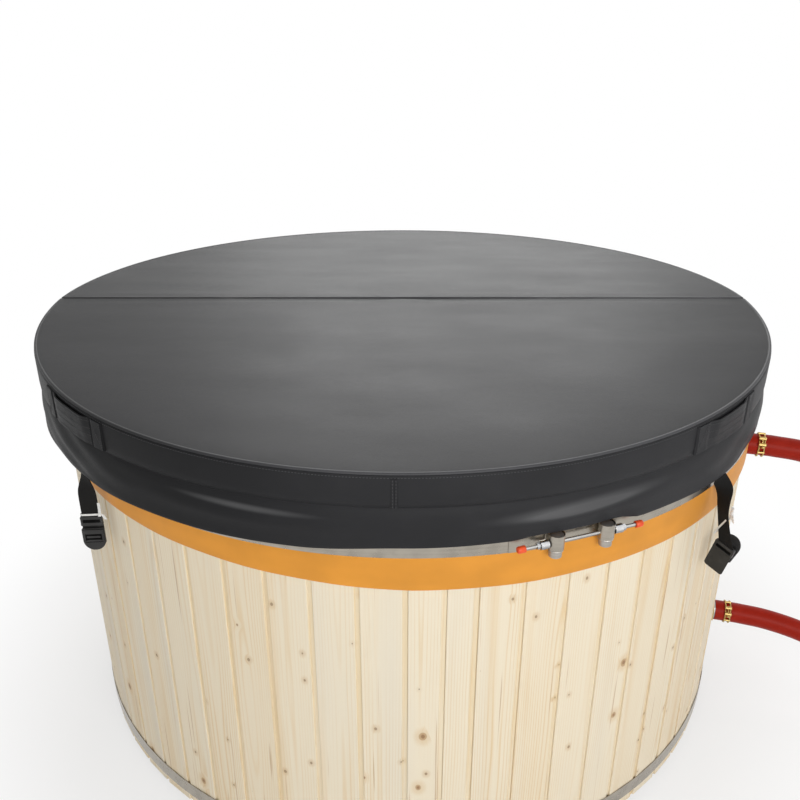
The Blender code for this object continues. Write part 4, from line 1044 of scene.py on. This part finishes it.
class HOTTUB_OT_boards(bpy.types.Operator):
    """Spruce boards round the tub"""

    bl_idname = "hottub.boards"
    bl_label = "Boards"

    def execute(self, context):
        s = context.scene.hot_tub.wall
        closing = [2 * math.degrees(math.atan(w / 2 / s.radius)) for w in CLOSING_BOARDS]
        full = (360.0 - sum(closing)) / s.boards
        mesh = bmesh.new()
        grain = mesh.loops.layers.uv.new("grain")
        seed = mesh.faces.layers.float.new("board")
        lip = mesh.faces.layers.float.new("lip")
        left = FIRST_SEAM
        for k, angle in enumerate(closing + [full] * s.boards):
            self.board(mesh, s, left, left + angle, k, grain, seed, lip)
            left += angle
        boards = finished("spruce_boards", mesh, [spruce(s)], "tub", 25.0)
        nodes = ["closing_boards"] + [f"wall_panel_{k:02d}" for k in range(1, 7)]
        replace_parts(boards, *nodes)
        return {"FINISHED"}

    def board(self, mesh, s, left, right, number, grain, seed, lip):
        """One board with eased corners, a stepped lip on its right side and its own grain map."""
        middle = (left + right) / 2
        half = s.radius * math.tan(math.radians((right - left) / 2))
        gap = FIT
        ease_by = 0.0009
        low = s.depth
        outline = [
            (-half + gap, -0.006),
            (-half + gap, -ease_by),
            (-half + gap + ease_by, 0.0),
            (0.0, 0.0),
            (half - s.lip - 0.0016, 0.0),
            (half - s.lip, -0.0014),
            (half - s.lip, -low + 0.0006),
            (half - s.lip + 0.0008, -low),
            (half - gap - 0.0006, -low),
            (half - gap, -low - 0.0006),
            (half - gap, -0.009),
            (half - gap - 0.003, -BOARD_THICKNESS + 0.0002),
            (-half + gap + 0.002, -BOARD_THICKNESS + 0.0002),
        ]
        out = radial(middle)
        along = tangent(middle)
        value = (math.sin(number * 12.9898 + 4.1) * 43758.5453) % 1.0
        levels = [s.foot, s.foot + 0.0012, s.head - 0.0012, s.head]
        loops = []
        for z in levels:
            tight = 0.0009 if z in (levels[0], levels[-1]) else 0.0
            loop = []
            for u, v in outline:
                inset = u * (1.0 - tight / half)
                point = along * inset + out * (s.radius + v - (tight if v > -0.008 else 0.0))
                point.z = z
                loop.append(point)
            loops.append(loop)
        faces = skin(mesh, loops)
        stepped = half - s.lip - 0.0004
        for face in faces:
            face[seed] = value
            centre = face.calc_center_median()
            across = centre.dot(along)
            depth = centre.dot(out) - s.radius
            face[lip] = 1.0 if across > stepped and depth > -0.0095 else 0.0
            for corner in face.loops:
                place = corner.vert.co
                corner[grain].uv = (place.dot(along) + half + place.dot(out) - s.radius, place.z)


class HOTTUB_OT_shell(bpy.types.Operator):
    """Moulded tub with its rim and apron"""

    bl_idname = "hottub.shell"
    bl_label = "Moulded tub"

    def execute(self, context):
        s = context.scene.hot_tub.shell
        wall = LINER_WALL
        low = 0.0976
        floor = low + wall
        foot = 0.500
        basin = 0.880
        bench = 0.450
        soft = 0.005
        shrink = math.cos(math.pi / STEPS)
        apron_in = board_corner() + FIT
        apron_out = apron_in + wall * shrink
        rim = s.rim
        profile = arc(foot * shrink - soft, floor + soft, soft, -90, 0, 3)
        profile += arc(foot * shrink + soft, bench - soft, soft, 180, 90, 3)
        profile += arc(basin * shrink - soft, bench + soft, soft, -90, 0, 3)
        profile += arc(basin * shrink + RIM_CURVE, rim - RIM_CURVE, RIM_CURVE, 180, 90, 5)
        profile += arc(apron_out - RIM_EDGE, rim - RIM_EDGE, RIM_EDGE, 90, 0, 6)
        profile += [(apron_out, 0.965), (apron_out, 0.930), (apron_out - 0.0004, 0.885)]
        skirt = len(profile)
        profile += [(apron_out, s.apron + 0.022), (apron_out + 0.0001, s.apron + 0.006)]
        profile += [(apron_out - 0.0010, s.apron + 0.001), (apron_out - 0.0030, s.apron)]
        profile += [(apron_in + 0.0006, s.apron + 0.001), (apron_in, s.apron + 0.004)]
        skirt_end = len(profile)
        profile += arc(apron_out - RIM_EDGE, rim - RIM_EDGE, RIM_EDGE - wall, 0, 90, 2)
        profile += arc(basin * shrink + RIM_CURVE, rim - RIM_CURVE, RIM_CURVE - wall, 90, 180, 2)
        profile += [(basin + wall - 0.001, bench - wall)]
        profile += [(foot + wall - 0.001, z) for z in (bench - wall, low)]
        mesh = bmesh.new()
        loops = []
        for k, (radius, z) in enumerate(profile):
            loop = []
            for j in range(192):
                azimuth = 360.0 * j / 192
                turn = math.radians(azimuth)
                climb = 0.0
                wave = 0.0
                if skirt <= k < skirt_end:
                    climb = s.apron_rise * max(0.0, -math.sin(turn)) * (0.6 if k == skirt else 1.0)
                    climb += 0.0016 * noise.noise(Vector((math.sin(turn) * 6.0, math.cos(turn) * 6.0, 2.0)))
                    wave = 0.0005 * noise.noise(Vector((math.sin(turn) * 9.0, math.cos(turn) * 9.0, 5.0)))
                loop.append(polar(radius + wave, azimuth, z + climb))
            loops.append(loop)
        skin(mesh, loops)
        shell = finished("moulded_tub", mesh, [moulded(s)], "tub", 50.0)
        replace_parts(shell, "tub_floor", "tub_footwell", "tub_bench", "tub_wall", "tub_rim")
        return {"FINISHED"}


class HOTTUB_OT_hoop(bpy.types.Operator):
    """Steel hoop and its tightener"""

    bl_idname = "hottub.hoop"
    bl_label = "Hoop"

    def execute(self, context):
        s = context.scene.hot_tub.shell
        steel = metal("Hoop steel", tuple(s.steel), 0.20, (5.0, 5.0, 500.0))
        middle = s.hoop + s.hoop_width / 2
        # The sleeves, nuts and rod are painted darker below the rod's middle height: a painted dark
        # reflection.
        plated = metal("Plated steel", (0.74, 0.74, 0.75), 0.14, (80.0, 80.0, 80.0), 0.06, middle + 0.001)
        dark = metal("Threaded steel", (0.66, 0.65, 0.63), 0.22, (80.0, 80.0, 80.0), 0.06, middle)
        red = moulded_black("Red cap", tuple(s.cap), 0.34)
        self.thick = HOOP_THICKNESS
        self.band = board_corner() + FIT + LINER_WALL * math.cos(math.pi / STEPS) + FIT + self.thick / 2
        self.loop = PIN_RADIUS + 2 * FIT + self.thick / 2
        self.strip(s, steel)
        self.tighten(s, plated, dark, red)
        lower = bmesh.new()
        ring = board_corner() + FIT
        base, head = LOWER_HOOP
        profile = [(ring, base), (ring + self.thick, base), (ring + self.thick, head), (ring, head)]
        turned(lower, profile, Matrix.Identity(4), 192, True)
        piece = finished("foot_hoop", lower, [steel], "tub")
        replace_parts(piece, "lower_hoop")
        return {"FINISHED"}

    def lug(self, azimuth, across, out):
        """A point beside a pin, on the band's own directions."""
        return polar(self.band, azimuth, 0.0) + tangent(azimuth) * across + radial(azimuth) * out

    def strip(self, s, steel):
        """The hoop: each end passes under its pin, loops over it and lies back on the band."""
        lie = self.thick + FIT
        tail = math.degrees(HOOP_TAIL / self.band)
        bend = self.loop + 0.003
        path = []
        near = PIN_LEFT - math.degrees(bend / self.band)
        start = PIN_LEFT - tail
        path += [polar(self.band + lie, start + (near - start) * k / 6, 0.0) for k in range(6)]
        path += [self.lug(PIN_LEFT, u, v) for u, v in arc(-bend, lie + 0.003, 0.003, -90, 0, 4)]
        path += [self.lug(PIN_LEFT, u, v) for u, v in arc(0.0, self.loop, self.loop, 180, -90, 24)]
        first = PIN_LEFT - 1.2
        last = PIN_RIGHT - 360.0 + 1.2
        path += [polar(self.band, first + (last - first) * k / 200, 0.0) for k in range(201)]
        path += [self.lug(PIN_RIGHT, u, v) for u, v in arc(0.0, self.loop, self.loop, -90, -360, 24)]
        path += [self.lug(PIN_RIGHT, u, v) for u, v in arc(bend, lie + 0.003, 0.003, 180, 270, 4)]
        near = PIN_RIGHT + math.degrees(bend / self.band)
        end = PIN_RIGHT + tail
        path += [polar(self.band + lie, near + (end - near) * k / 6, 0.0) for k in range(1, 7)]
        mesh = bmesh.new()
        pins = [self.lug(azimuth, 0.0, self.loop) for azimuth in (PIN_LEFT, PIN_RIGHT)]
        lifts = [0.007 * ease((0.028 - min((p - q).length for q in pins)) / 0.010) for p in path]
        self.sweep(mesh, path, s.hoop, s.hoop + s.hoop_width, lifts)
        tongue = [self.lug(PIN_LEFT, 0.008, 0.0)]
        between = PIN_RIGHT - PIN_LEFT - 1.2
        tongue += [polar(self.band, PIN_LEFT + 0.6 + between * k / 6, 0.0) for k in range(7)]
        tongue += [self.lug(PIN_RIGHT, -0.008, 0.0)]
        self.sweep(mesh, tongue, s.hoop + 0.003, s.hoop + s.hoop_width - 0.003)
        hoop = finished("steel_hoop", mesh, [steel], "tub")
        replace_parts(hoop, "upper_hoop", "hoop_tongue")

    def sweep(self, mesh, path, base, high, lifts=None):
        """A thin strip that stands on edge along a path."""
        count = len(path)
        loops = []
        for k in range(count):
            sides = []
            if k > 0:
                sides.append((path[k] - path[k - 1]).normalized())
            if k < count - 1:
                sides.append((path[k + 1] - path[k]).normalized())
            normals = [Vector((a.y, -a.x, 0.0)) for a in sides]
            mitre = sum(normals, Vector((0, 0, 0))).normalized()
            mitre *= self.thick / 2 / mitre.dot(normals[0])
            a = path[k] - mitre
            b = path[k] + mitre
            rise = 0.0004
            low = base + (lifts[k] if lifts else 0.0)
            loops.append(
                [
                    Vector((a.x, a.y, low)),
                    Vector((b.x, b.y, low + rise)),
                    Vector((b.x, b.y, high - rise)),
                    Vector((a.x, a.y, high)),
                ]
            )
        skin(mesh, loops)

    def tighten(self, s, plated, dark, red):
        """Pins, threaded rod, spacers, nuts and caps."""
        middle = s.hoop + s.hoop_width / 2
        left = self.lug(PIN_LEFT, 0.0, self.loop)
        right = self.lug(PIN_RIGHT, 0.0, self.loop)
        left.z = middle
        right.z = middle
        along = (right - left).normalized()
        span = (right - left).length
        pins = bmesh.new()
        for at in (left, right):
            base = Matrix.Translation((at.x, at.y, 0.0))
            low = s.hoop - 0.011
            high = s.hoop + s.hoop_width - 0.0015
            thin = PIN_RADIUS - 0.0014
            full = PIN_RADIUS - FIT
            collar = s.hoop + 0.0066
            profile = [(thin - 0.0012, low), (thin, low + 0.0012), (thin, collar - 0.0036)]
            profile += [(full + 0.0010, collar - 0.0030), (full + 0.0014, collar - 0.0016)]
            profile += [(full + 0.0006, collar), (full, collar + 0.0004)]
            profile += [(full, high - 0.0012), (full - 0.0012, high)]
            for face in turned(pins, profile, base, 40):
                # The pins' flat tops take a darker steel: painted shade under the skirt's hem.
                if face.normal.z > 0.9 and face.calc_center_median().z > high - 0.001:
                    face.material_index = 1
        shank = metal("Pin steel", (0.47, 0.44, 0.40), 0.44)
        # Darker copy of the pin steel for the tops: painted shade.
        painted_shade_end = metal("Pin end", (0.30, 0.29, 0.28), 0.5)
        piece = finished("tightener_pins", pins, [shank, painted_shade_end], "tub")
        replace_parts(piece, "pin_left", "pin_right")
        rods = bmesh.new()
        profile = []
        place = 0.0005 - ROD_REACH
        while place < span + ROD_REACH - 0.0005:
            profile += [(0.0039, place), (0.0034, place + ROD_PITCH / 2)]
            place += ROD_PITCH
        profile += [(0.0034, span + ROD_REACH - 0.0002)]
        profile = [(0.0030, 0.0002 - ROD_REACH)] + profile + [(0.0028, span + ROD_REACH)]
        turned(rods, profile, aim(left, along), 16)
        piece = finished("threaded_rod", rods, [dark], "tub", 80.0)
        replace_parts(piece, "tension_rod")
        for word, origin, way in (("left", left, -along), ("right", right, along)):
            local = aim(origin, way)
            mesh = bmesh.new()
            bore = 0.0043
            a = SPACER_START + 0.0001
            profile = [(bore, a), (0.0088, a), (0.0095, a + 0.0007), (0.0095, a + 0.0171)]
            profile += [(0.0088, a + 0.0178), (bore, a + 0.0178)]
            turned(mesh, profile, local, 40, True)
            piece = finished(word + "_sleeve", mesh, [plated], "tub")
            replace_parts(piece, "spacer_" + word)
            mesh = bmesh.new()
            flats = six_flats(0.0129)
            a = SPACER_START + 0.0185
            profile = [(bore, a), (0.0062, a), (flats, a + 0.0008), (flats, a + 0.0058), (0.0062, a + 0.0066)]
            profile += [(bore, a + 0.0066)]
            turned(mesh, profile, local, 48, True)
            piece = finished(word + "_hex_nut", mesh, [plated], "tub")
            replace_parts(piece, "nut_" + word)
            mesh = bmesh.new()
            a = ROD_REACH
            profile = [(bore, a + 0.0002), (bore, a - 0.0116), (0.0066, a - 0.0116), (0.0072, a - 0.0110)]
            profile += [(0.0071, a + 0.0012)] + arc(0.0038, a + 0.0022, 0.0030, 0, 90, 4)
            turned(mesh, profile, local, 32)
            piece = finished(word + "_red_cap", mesh, [red], "tub", 50.0)
            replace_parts(piece, "cap_" + word)


class HOTTUB_OT_cover(bpy.types.Operator):
    """Both cover halves, the fold's piping, the handles and the stitching"""

    bl_idname = "hottub.cover"
    bl_label = "Cover"

    def execute(self, context):
        s = context.scene.hot_tub.cover
        cover = Cover(s)
        skin_finish = vinyl("Charcoal vinyl", tuple(s.colour), 0.16)
        # The bound edge is the vinyl made 3.6 times paler: a painted highlight along the top's edge and the
        # fold's piping, with painted shade towards the left.
        bound_edge_painted_light = vinyl("Bound edge", tuple(c * 3.6 for c in s.colour), 0.20, (), 0.95)
        # Patches of painted sheen on the skirt's rolls, given as azimuth, spread, height, half width and
        # climb.
        rolls = (
            (20.0, 14.0, s.crease - 0.029, 0.019, 0.0006),
            (20.0, 10.0, s.crease - 0.033, 0.010, 0.0006),
            (-19.0, 11.0, s.crease - 0.022, 0.009, -0.0003),
        )
        # The side band and skirt take a copy of the vinyl, 1.6 times paler with less shine, as painted light
        # for the side, and painted shade towards the left.
        sides = vinyl("Side vinyl", tuple(c * 1.6 for c in s.colour), 0.08, rolls, 0.80)
        lining = plain_cloth("Cover lining", (0.05, 0.05, 0.052), 2200.0)
        thread = plain_cloth("Seam thread", tuple(s.thread), 4000.0)
        for word, side in (("front", 1), ("rear", -1)):
            body = "cover_" + word
            coats = [skin_finish, lining, bound_edge_painted_light, sides]
            half = finished(word + "_cover", cover_half(cover, side), coats, body, 60.0)
            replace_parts(half, word + "_jacket", word + "_foam", word + "_lining")
            self.seams(cover, word, side, body, thread, sides)
        self.piping(cover, bound_edge_painted_light)
        for word, centre in (("left", -46.5), ("right", 44.7)):
            self.handle(cover, word, centre, sides, thread)
        return {"FINISHED"}

    def seams(self, cover, word, side, body, thread, material):
        """Stitching round the edge, beside the fold and down the joins."""
        s = cover.s
        edge = []
        for k in range(241):
            azimuth = -89.4 + 178.8 * k / 240
            y = cover.point(s.radius, azimuth, 0.0, side)[1]
            z = cover.top(y) - 0.0088
            out = s.radius + 0.0004 + cover.soft(cover.world(azimuth, side), z)
            edge.append(cover.point(out, azimuth, z, side)[0])
        fold = []
        for k in range(161):
            x = (s.radius - 0.03) * (-1.0 + 2.0 * k / 160)
            y = cover.half_gap + 0.012
            share = math.hypot(x, y) / (s.radius - 0.010)
            point = Vector((s.shift + x, -side * y, 0.0))
            point.z = cover.crown(point, y, share) + 0.0001
            fold.append(point)
        lines = [edge, fold]
        join = -1.0 if side > 0 else 179.0
        for shift in (-0.19, 0.19):
            world = join + shift
            azimuth = world if side > 0 else 180.0 - world
            line = []
            for k in range(24):
                z = s.crease + 0.006 + (cover.top(s.radius) - 0.014 - s.crease - 0.006) * k / 23
                out = s.radius + 0.0021 + cover.soft(world, z)
                line.append(cover.point(out, azimuth, z, side)[0])
            lines.append(line)
        sew(word + "_stitching", lines, body, thread, s.stitch)
        self.tape(cover, word, side, body, join, material)

    def tape(self, cover, word, side, body, join, material):
        """The raised join of the side band."""
        s = cover.s
        left = [(-0.34, -0.0006), (-0.30, 0.0011), (-0.05, 0.0013)]
        right = [(-shift, rise) for shift, rise in reversed(left)]
        mesh = bmesh.new()
        loops = []
        for k in range(24):
            z = s.crease + 0.004 + (cover.top(s.radius) - 0.010 - s.crease - 0.004) * k / 23
            loop = []
            for shift, rise in left + [(0.0, 0.0002)] + right:
                world = join + shift
                azimuth = world if side > 0 else 180.0 - world
                out = s.radius + 0.0008 + rise + cover.soft(world, z)
                loop.append(cover.point(out, azimuth, z, side)[0])
            loops.append(loop)
        skin(mesh, loops)
        finished(word + "_band_join", mesh, [material], body, 60.0)

    def piping(self, cover, material):
        """The sewn bead along the fold."""
        s = cover.s
        mesh = bmesh.new()
        loops = []
        for k in range(200):
            x = s.shift + (s.radius - 0.010) * (-1.0 + 2.0 * k / 199)
            wave = 0.0006 * noise.noise(Vector((x * 9.0, 1.0, 4.0)))
            size = 0.0042 + 0.0003 * noise.noise(Vector((x * 17.0, 8.0, 1.0)))
            high = s.ridge - 0.0022 + wave * 0.5 + 0.0016 * bell(x - 0.05, 0.38)
            loop = []
            for j in range(14):
                turn = 2 * math.pi * j / 14
                loop.append(Vector((x, size * 1.2 * math.cos(turn), high + size * math.sin(turn))))
            loops.append(loop)
        skin(mesh, loops)
        # The piping takes the paler bound edge vinyl, a painted highlight.
        bead = finished("fold_piping", mesh, [material], "cover_rear", 60.0)
        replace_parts(bead, "fold_welt")

    def handle(self, cover, word, centre, material, thread):
        """A carrying flap, sewn down in a box at each end and bowed between."""
        s = cover.s
        half = 7.8 if word == "left" else 7.5
        patch = 2.4
        rows = 16
        mesh = bmesh.new()
        slits = (centre + half - patch,) + ((centre - half + patch,) if word == "left" else ())

        def place(azimuth, share, out):
            free = ease((half - abs(azimuth - centre) - patch) / (half - patch) * 2.5)
            low = s.crease + 0.008
            high = cover.top(s.radius * math.cos(math.radians(azimuth))) - 0.009 - 0.003 * free
            z = low + (high - low) * share
            bow = free * (0.0022 + 0.0030 * ease(share * 1.1))
            ripple = 0.0009 * noise.noise(Vector((azimuth * 0.6, share * 3.0, 2.0)))
            sunk = sum(bell(azimuth - at, 0.14) for at in slits)
            base = s.radius + 0.0016 + bow + ripple + out - 0.0030 * sunk * (1.0 if out > 0.0 else 0.3)
            return cover.point(base, azimuth, z, 1)[0]

        loops = []
        count = 120
        for k in range(count + 1):
            azimuth = centre - half + 2 * half * k / count
            edge = min(1.0, 0.25 + min(k, count - k) / 3.0)
            inside = abs(azimuth - centre) < half - patch
            thick = (0.0030 if inside else 0.0042) * edge
            front = [place(azimuth, j / rows, thick) for j in range(rows + 1)]
            back = [place(azimuth, j / rows, 0.0) for j in range(rows, -1, -1)]
            loops.append(front + back)
        skin(mesh, loops)
        flap = finished(word + "_carry_flap", mesh, [material], "cover_front", 60.0)
        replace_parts(flap, "handle_" + word)
        lines = []
        for end in (-1, 1):
            near = centre + end * (half - 0.32)
            far = centre + end * (half - patch + 0.34)
            for a, b in ((near, near), (far, far), (near, far)):
                lines.append([place(a + (b - a) * k / 12, 0.05 + 0.90 * k / 12, 0.0045) for k in range(13)])
        for share in (0.10, 0.36, 0.62, 0.88):
            span = half - patch - 0.3
            lines.append([place(centre - span + 2 * span * k / 30, share, 0.0033) for k in range(31)])
        size = (0.0034, 0.0009)
        sew(word + "_flap_stitching", lines, "cover_front", thread, 0.0048, size)


class HOTTUB_OT_straps(bpy.types.Operator):
    """Straps, buckles and ties under the skirt"""

    bl_idname = "hottub.straps"
    bl_label = "Straps"

    def execute(self, context):
        cover = Cover(context.scene.hot_tub.cover)
        s = context.scene.hot_tub.hose
        weave = strap_weave(s)
        black = moulded_black("Buckle plastic", tuple(c * 1.3 for c in s.buckle), 0.34, 0.34)
        # A near-black copy of the buckle plastic for the floors of the slots: painted shade in the recesses.
        self.recess_painted_shade = moulded_black("Buckle recess", tuple(c * 0.2 for c in s.buckle), 0.6, 0.05)
        white = moulded_black("White tie", (0.74, 0.74, 0.72), 0.42)
        straps = (("left", LEFT_STRAP, LEFT_SECTIONS), ("right", RIGHT_STRAP, RIGHT_SECTIONS))
        for word, azimuth, sections in straps:
            lean = RIGHT_TILT if word == "right" else 0.0
            end, facing, rings = self.strap(cover, word, azimuth, sections, lean, weave)
            face = radial(facing)
            down = Vector((0, 0, -1))
            opened = 0.0
            if word == "right":
                down = Matrix.Rotation(math.radians(-lean), 3, face) @ down
                opened = RIGHT_OPEN
            drop = 0.0935 if word == "left" else 0.108
            self.tie(word, min(rings, key=lambda ring: abs(ring[3] - drop)), white)
            self.buckle(word, end, down, -face if word == "right" else face, opened, black)
        return {"FINISHED"}

    def strap(self, cover, word, azimuth, sections, lean, weave):
        """A strap hung from the hem; gives its end, facing and rings."""
        middle = Vector((cover.s.shift, 0, 0))
        top = cover.hem_z(azimuth) - 0.0016
        start = cover.hem_out(azimuth) - VINYL / 2
        line = smooth_line([Vector(x) for x in sections], 8)
        mesh = bmesh.new()
        loops = []
        rings = []
        for drop, out, twist in line:
            centre = middle + polar(start + out, azimuth, top - drop)
            facing = radial(azimuth + twist)
            tilt = Matrix.Rotation(math.radians(-lean * ease(drop / sections[-1][0])), 3, facing)
            wide = tilt @ tangent(azimuth + twist) * 0.0198
            thick = facing * 0.0011
            rings.append((centre, wide.normalized(), facing, drop))
            loops.append(
                [
                    centre - wide * 0.96 - thick,
                    centre + wide * 0.96 - thick,
                    centre + wide,
                    centre + wide * 0.96 + thick,
                    centre - wide * 0.96 + thick,
                    centre - wide,
                ]
            )
        faces = skin(mesh, loops)
        lay = mesh.loops.layers.uv.new("weave")
        side = tangent(azimuth + sections[-1][2])
        for face in faces:
            for corner in face.loops:
                place = corner.vert.co - middle
                corner[lay].uv = (place.dot(side), place.z)
        strap = finished(word + "_webbing", mesh, [weave], "strap_" + word, 50.0)
        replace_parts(strap, "strap_" + word)
        drop, out, twist = sections[-1]
        return middle + polar(start + out, azimuth, top - drop), azimuth + twist, rings

    def prism(self, mesh, outline, place, low, high, material=0):
        """A plate from an outline, between two depths."""
        skin(mesh, [[place(u, v, d) for u, v in outline] for d in (low, high)], False, material)

    def buckle(self, word, end, down, face, opened, black):
        """Slotted frame and back plate, and the lever with its raised bar."""
        wide = down.cross(face)

        def place(u, v, depth):
            return end + wide * u + down * v + face * depth

        def rounded(w, top, bottom, r):
            made = arc(w - r, bottom - r, r, 90, 0, 4)[::-1]
            made += arc(-w + r, bottom - r, r, 180, 90, 4)[::-1]
            made += arc(-w + r, top + r, r, 270, 180, 4)[::-1]
            made += arc(w - r, top + r, r, 360, 270, 4)[::-1]
            return made

        mesh = bmesh.new()
        self.prism(mesh, rounded(0.0240, 0.0004, 0.0080, 0.003), place, -0.0044, 0.0044)
        self.prism(mesh, rounded(0.0240, 0.0162, 0.0239, 0.003), place, -0.0044, 0.0044)
        for u in (-0.0214, 0.0214):
            bar = [(u - 0.0024, 0.004), (u + 0.0024, 0.004), (u + 0.0024, 0.020), (u - 0.0024, 0.020)]
            self.prism(mesh, bar, place, -0.0040, 0.0040)
        # A thin plate of the near-black recess plastic in the frame's slot: painted shade.
        floor = [(-0.0190, 0.006), (0.0190, 0.006), (0.0190, 0.018), (-0.0190, 0.018)]
        self.prism(mesh, floor, place, -0.0016, 0.0012, 1)
        self.prism(mesh, rounded(0.0236, 0.0200, 0.0758, 0.006), place, -0.0044, -0.0021)
        self.prism(mesh, rounded(0.0216, 0.0470, 0.0745, 0.005), place, -0.0030, -0.0006)
        base = finished(word + "_buckle_frame", mesh, [black, self.recess_painted_shade], "strap_" + word)
        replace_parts(bevelled(base, 0.0007), "buckle_" + word + "_base")
        at = place(0.0, 0.034, 0.00375)
        opening = Matrix.Rotation(math.radians(opened), 4, wide)
        turn = Matrix.Translation(at) @ opening @ Matrix.Translation(-at)

        def swung(u, v, depth):
            return turn @ place(u, v, depth)

        mesh = bmesh.new()
        outline = [(0.0246, 0.0325), (0.0226, 0.0302), (-0.0226, 0.0302), (-0.0246, 0.0325)]
        outline += arc(0.0, 0.0624, -0.0246, 0, -180, 16)
        self.prism(mesh, outline, swung, 0.0002, 0.0048)
        self.prism(mesh, rounded(0.0190, 0.0330, 0.0440, 0.0015), swung, 0.0040, 0.0072)
        self.prism(mesh, rounded(0.0190, 0.0590, 0.0700, 0.0060), swung, 0.0040, 0.0072)
        self.prism(mesh, rounded(0.0150, 0.0492, 0.0540, 0.0015), swung, 0.0040, 0.0070)
        # A thin plate of the near-black recess plastic between the lever's bars: painted shade.
        self.prism(mesh, rounded(0.0188, 0.0420, 0.0610, 0.0010), swung, 0.0040, 0.0050, 1)
        for u in (-0.0205, 0.0205):
            rail = [(u - 0.0022, 0.034), (u + 0.0022, 0.034), (u + 0.0022, 0.066), (u - 0.0022, 0.066)]
            self.prism(mesh, rail, swung, 0.0040, 0.0070)
        coats = [black, self.recess_painted_shade]
        lever = finished(word + "_buckle_lever_cap", mesh, coats, "buckle_" + word)
        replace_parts(bevelled(lever, 0.0007), "buckle_" + word + "_lever")

    def tie(self, word, ring, white):
        """A thin white tie looped round the strap above the buckle, with its cut tail."""
        centre, side, face, _drop = ring
        down = Vector((0, 0, -1))
        mesh = bmesh.new()
        slope = 0.0
        band = 0.0024
        tall = 0.0032
        tail_width = 0.0030
        if word == "right":
            slope = -1.9
            band = 0.0036
            tall = 0.0100
            tail_width = 0.0042
        loops = []
        for k in range(28):
            turn = 2 * math.pi * k / 28
            u = 0.0214 * math.copysign(abs(math.cos(turn)) ** 0.35, math.cos(turn))
            d = 0.0024 * math.copysign(abs(math.sin(turn)) ** 0.5, math.sin(turn))
            at = centre + down * (slope * u)
            half = down * band
            inner = side * u + face * d
            outer = side * u * 1.03 + face * d * 1.38
            loops.append([at + inner - half, at + outer - half, at + outer + half, at + inner + half])
        skin(mesh, loops, True)
        head = centre + side * 0.0205 + down * (slope * 0.0205) + face * 0.003
        bent = head + side * 0.006 + face * 0.004 - down * 0.003
        raised = head + side * 0.002 - down * 0.014 + face * 0.003
        reach = 0.030 if word == "left" else 0.018
        tails = (
            (head, bent, head + side * 0.013 + face * 0.005 + down * 0.010),
            (head, raised, head + side * 0.001 - down * reach),
        )
        thin = face * 0.0005
        flat = side * tail_width
        for tail in tails:
            run = smooth_line(tail, 6)
            skin(mesh, [[p - thin - flat, p + thin - flat, p + thin + flat, p - thin + flat] for p in run])
        corners = ((-1, -1), (1, -1), (1, 1), (-1, 1))
        block = [head + side * 0.0030 * a + face * (0.0026 * b + 0.001) for a, b in corners]
        skin(mesh, [[p + down * tall for p in block], [p - down * tall for p in block]])
        finished(word + "_white_tie", mesh, [white], "strap_" + word)


class HOTTUB_OT_solids(bpy.types.Operator):
    """Finishes of the solids that stay as they are"""

    bl_idname = "hottub.solids"
    bl_label = "Carried-over solids"

    def execute(self, context):
        timber = sawn_timber()
        steel = metal("Pipe steel", (0.58, 0.58, 0.58), 0.26, (60.0, 60.0, 60.0))
        brass = metal("Brass", (0.66, 0.47, 0.20), 0.24, (50.0, 50.0, 50.0))
        blue = moulded_black("Lever coating", (0.05, 0.08, 0.26), 0.34)
        nodes = {
            timber: ("bearer_1", "bearer_2", "bearer_3", "deck"),
            steel: ("upper_port_pipe", "lower_port_pipe", "drain_strainer"),
            brass: ("upper_port_lock_nut", "lower_port_lock_nut", "drain_pipe", "drain_valve"),
            blue: ("drain_lever",),
        }
        for material, names in nodes.items():
            for name in names:
                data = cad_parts[name].data
                data.materials.clear()
                data.materials.append(material)
        return {"FINISHED"}


class HOTTUB_PT_panel(bpy.types.Panel):
    """Hot tub builder"""

    bl_idname = "HOTTUB_PT_panel"
    bl_label = "Hot Tub"
    bl_space_type = "VIEW_3D"
    bl_region_type = "UI"
    bl_category = "Hot Tub"

    def draw(self, context):
        settings = context.scene.hot_tub
        for group in (settings.cover, settings.wall, settings.shell, settings.hose, settings.stage):
            area = self.layout.box()
            for key in group.__annotations__:
                area.prop(group, key)
        for operator in OPERATORS:
            self.layout.operator(operator.bl_idname)


OPERATORS = (
    HOTTUB_OT_stage,
    HOTTUB_OT_hoses,
    HOTTUB_OT_boards,
    HOTTUB_OT_shell,
    HOTTUB_OT_hoop,
    HOTTUB_OT_cover,
    HOTTUB_OT_straps,
    HOTTUB_OT_solids,
)
GROUPS = (HotTubCover, HotTubWall, HotTubShell, HotTubHose, HotTubStage, HotTubSettings)
CLASSES = GROUPS + OPERATORS + (HOTTUB_PT_panel,)


def register():
    for item in CLASSES:
        bpy.utils.register_class(item)
    bpy.types.Scene.hot_tub = bpy.props.PointerProperty(type=HotTubSettings)


def unregister():
    del bpy.types.Scene.hot_tub
    for item in reversed(CLASSES):
        bpy.utils.unregister_class(item)


def main():
    register()
    bpy.ops.hottub.stage()
    bpy.ops.hottub.hoses()
    bpy.ops.hottub.boards()
    bpy.ops.hottub.shell()
    bpy.ops.hottub.hoop()
    bpy.ops.hottub.cover()
    bpy.ops.hottub.straps()
    bpy.ops.hottub.solids()
    bpy.context.view_layer.update()


if __name__ == "__main__":
    main()
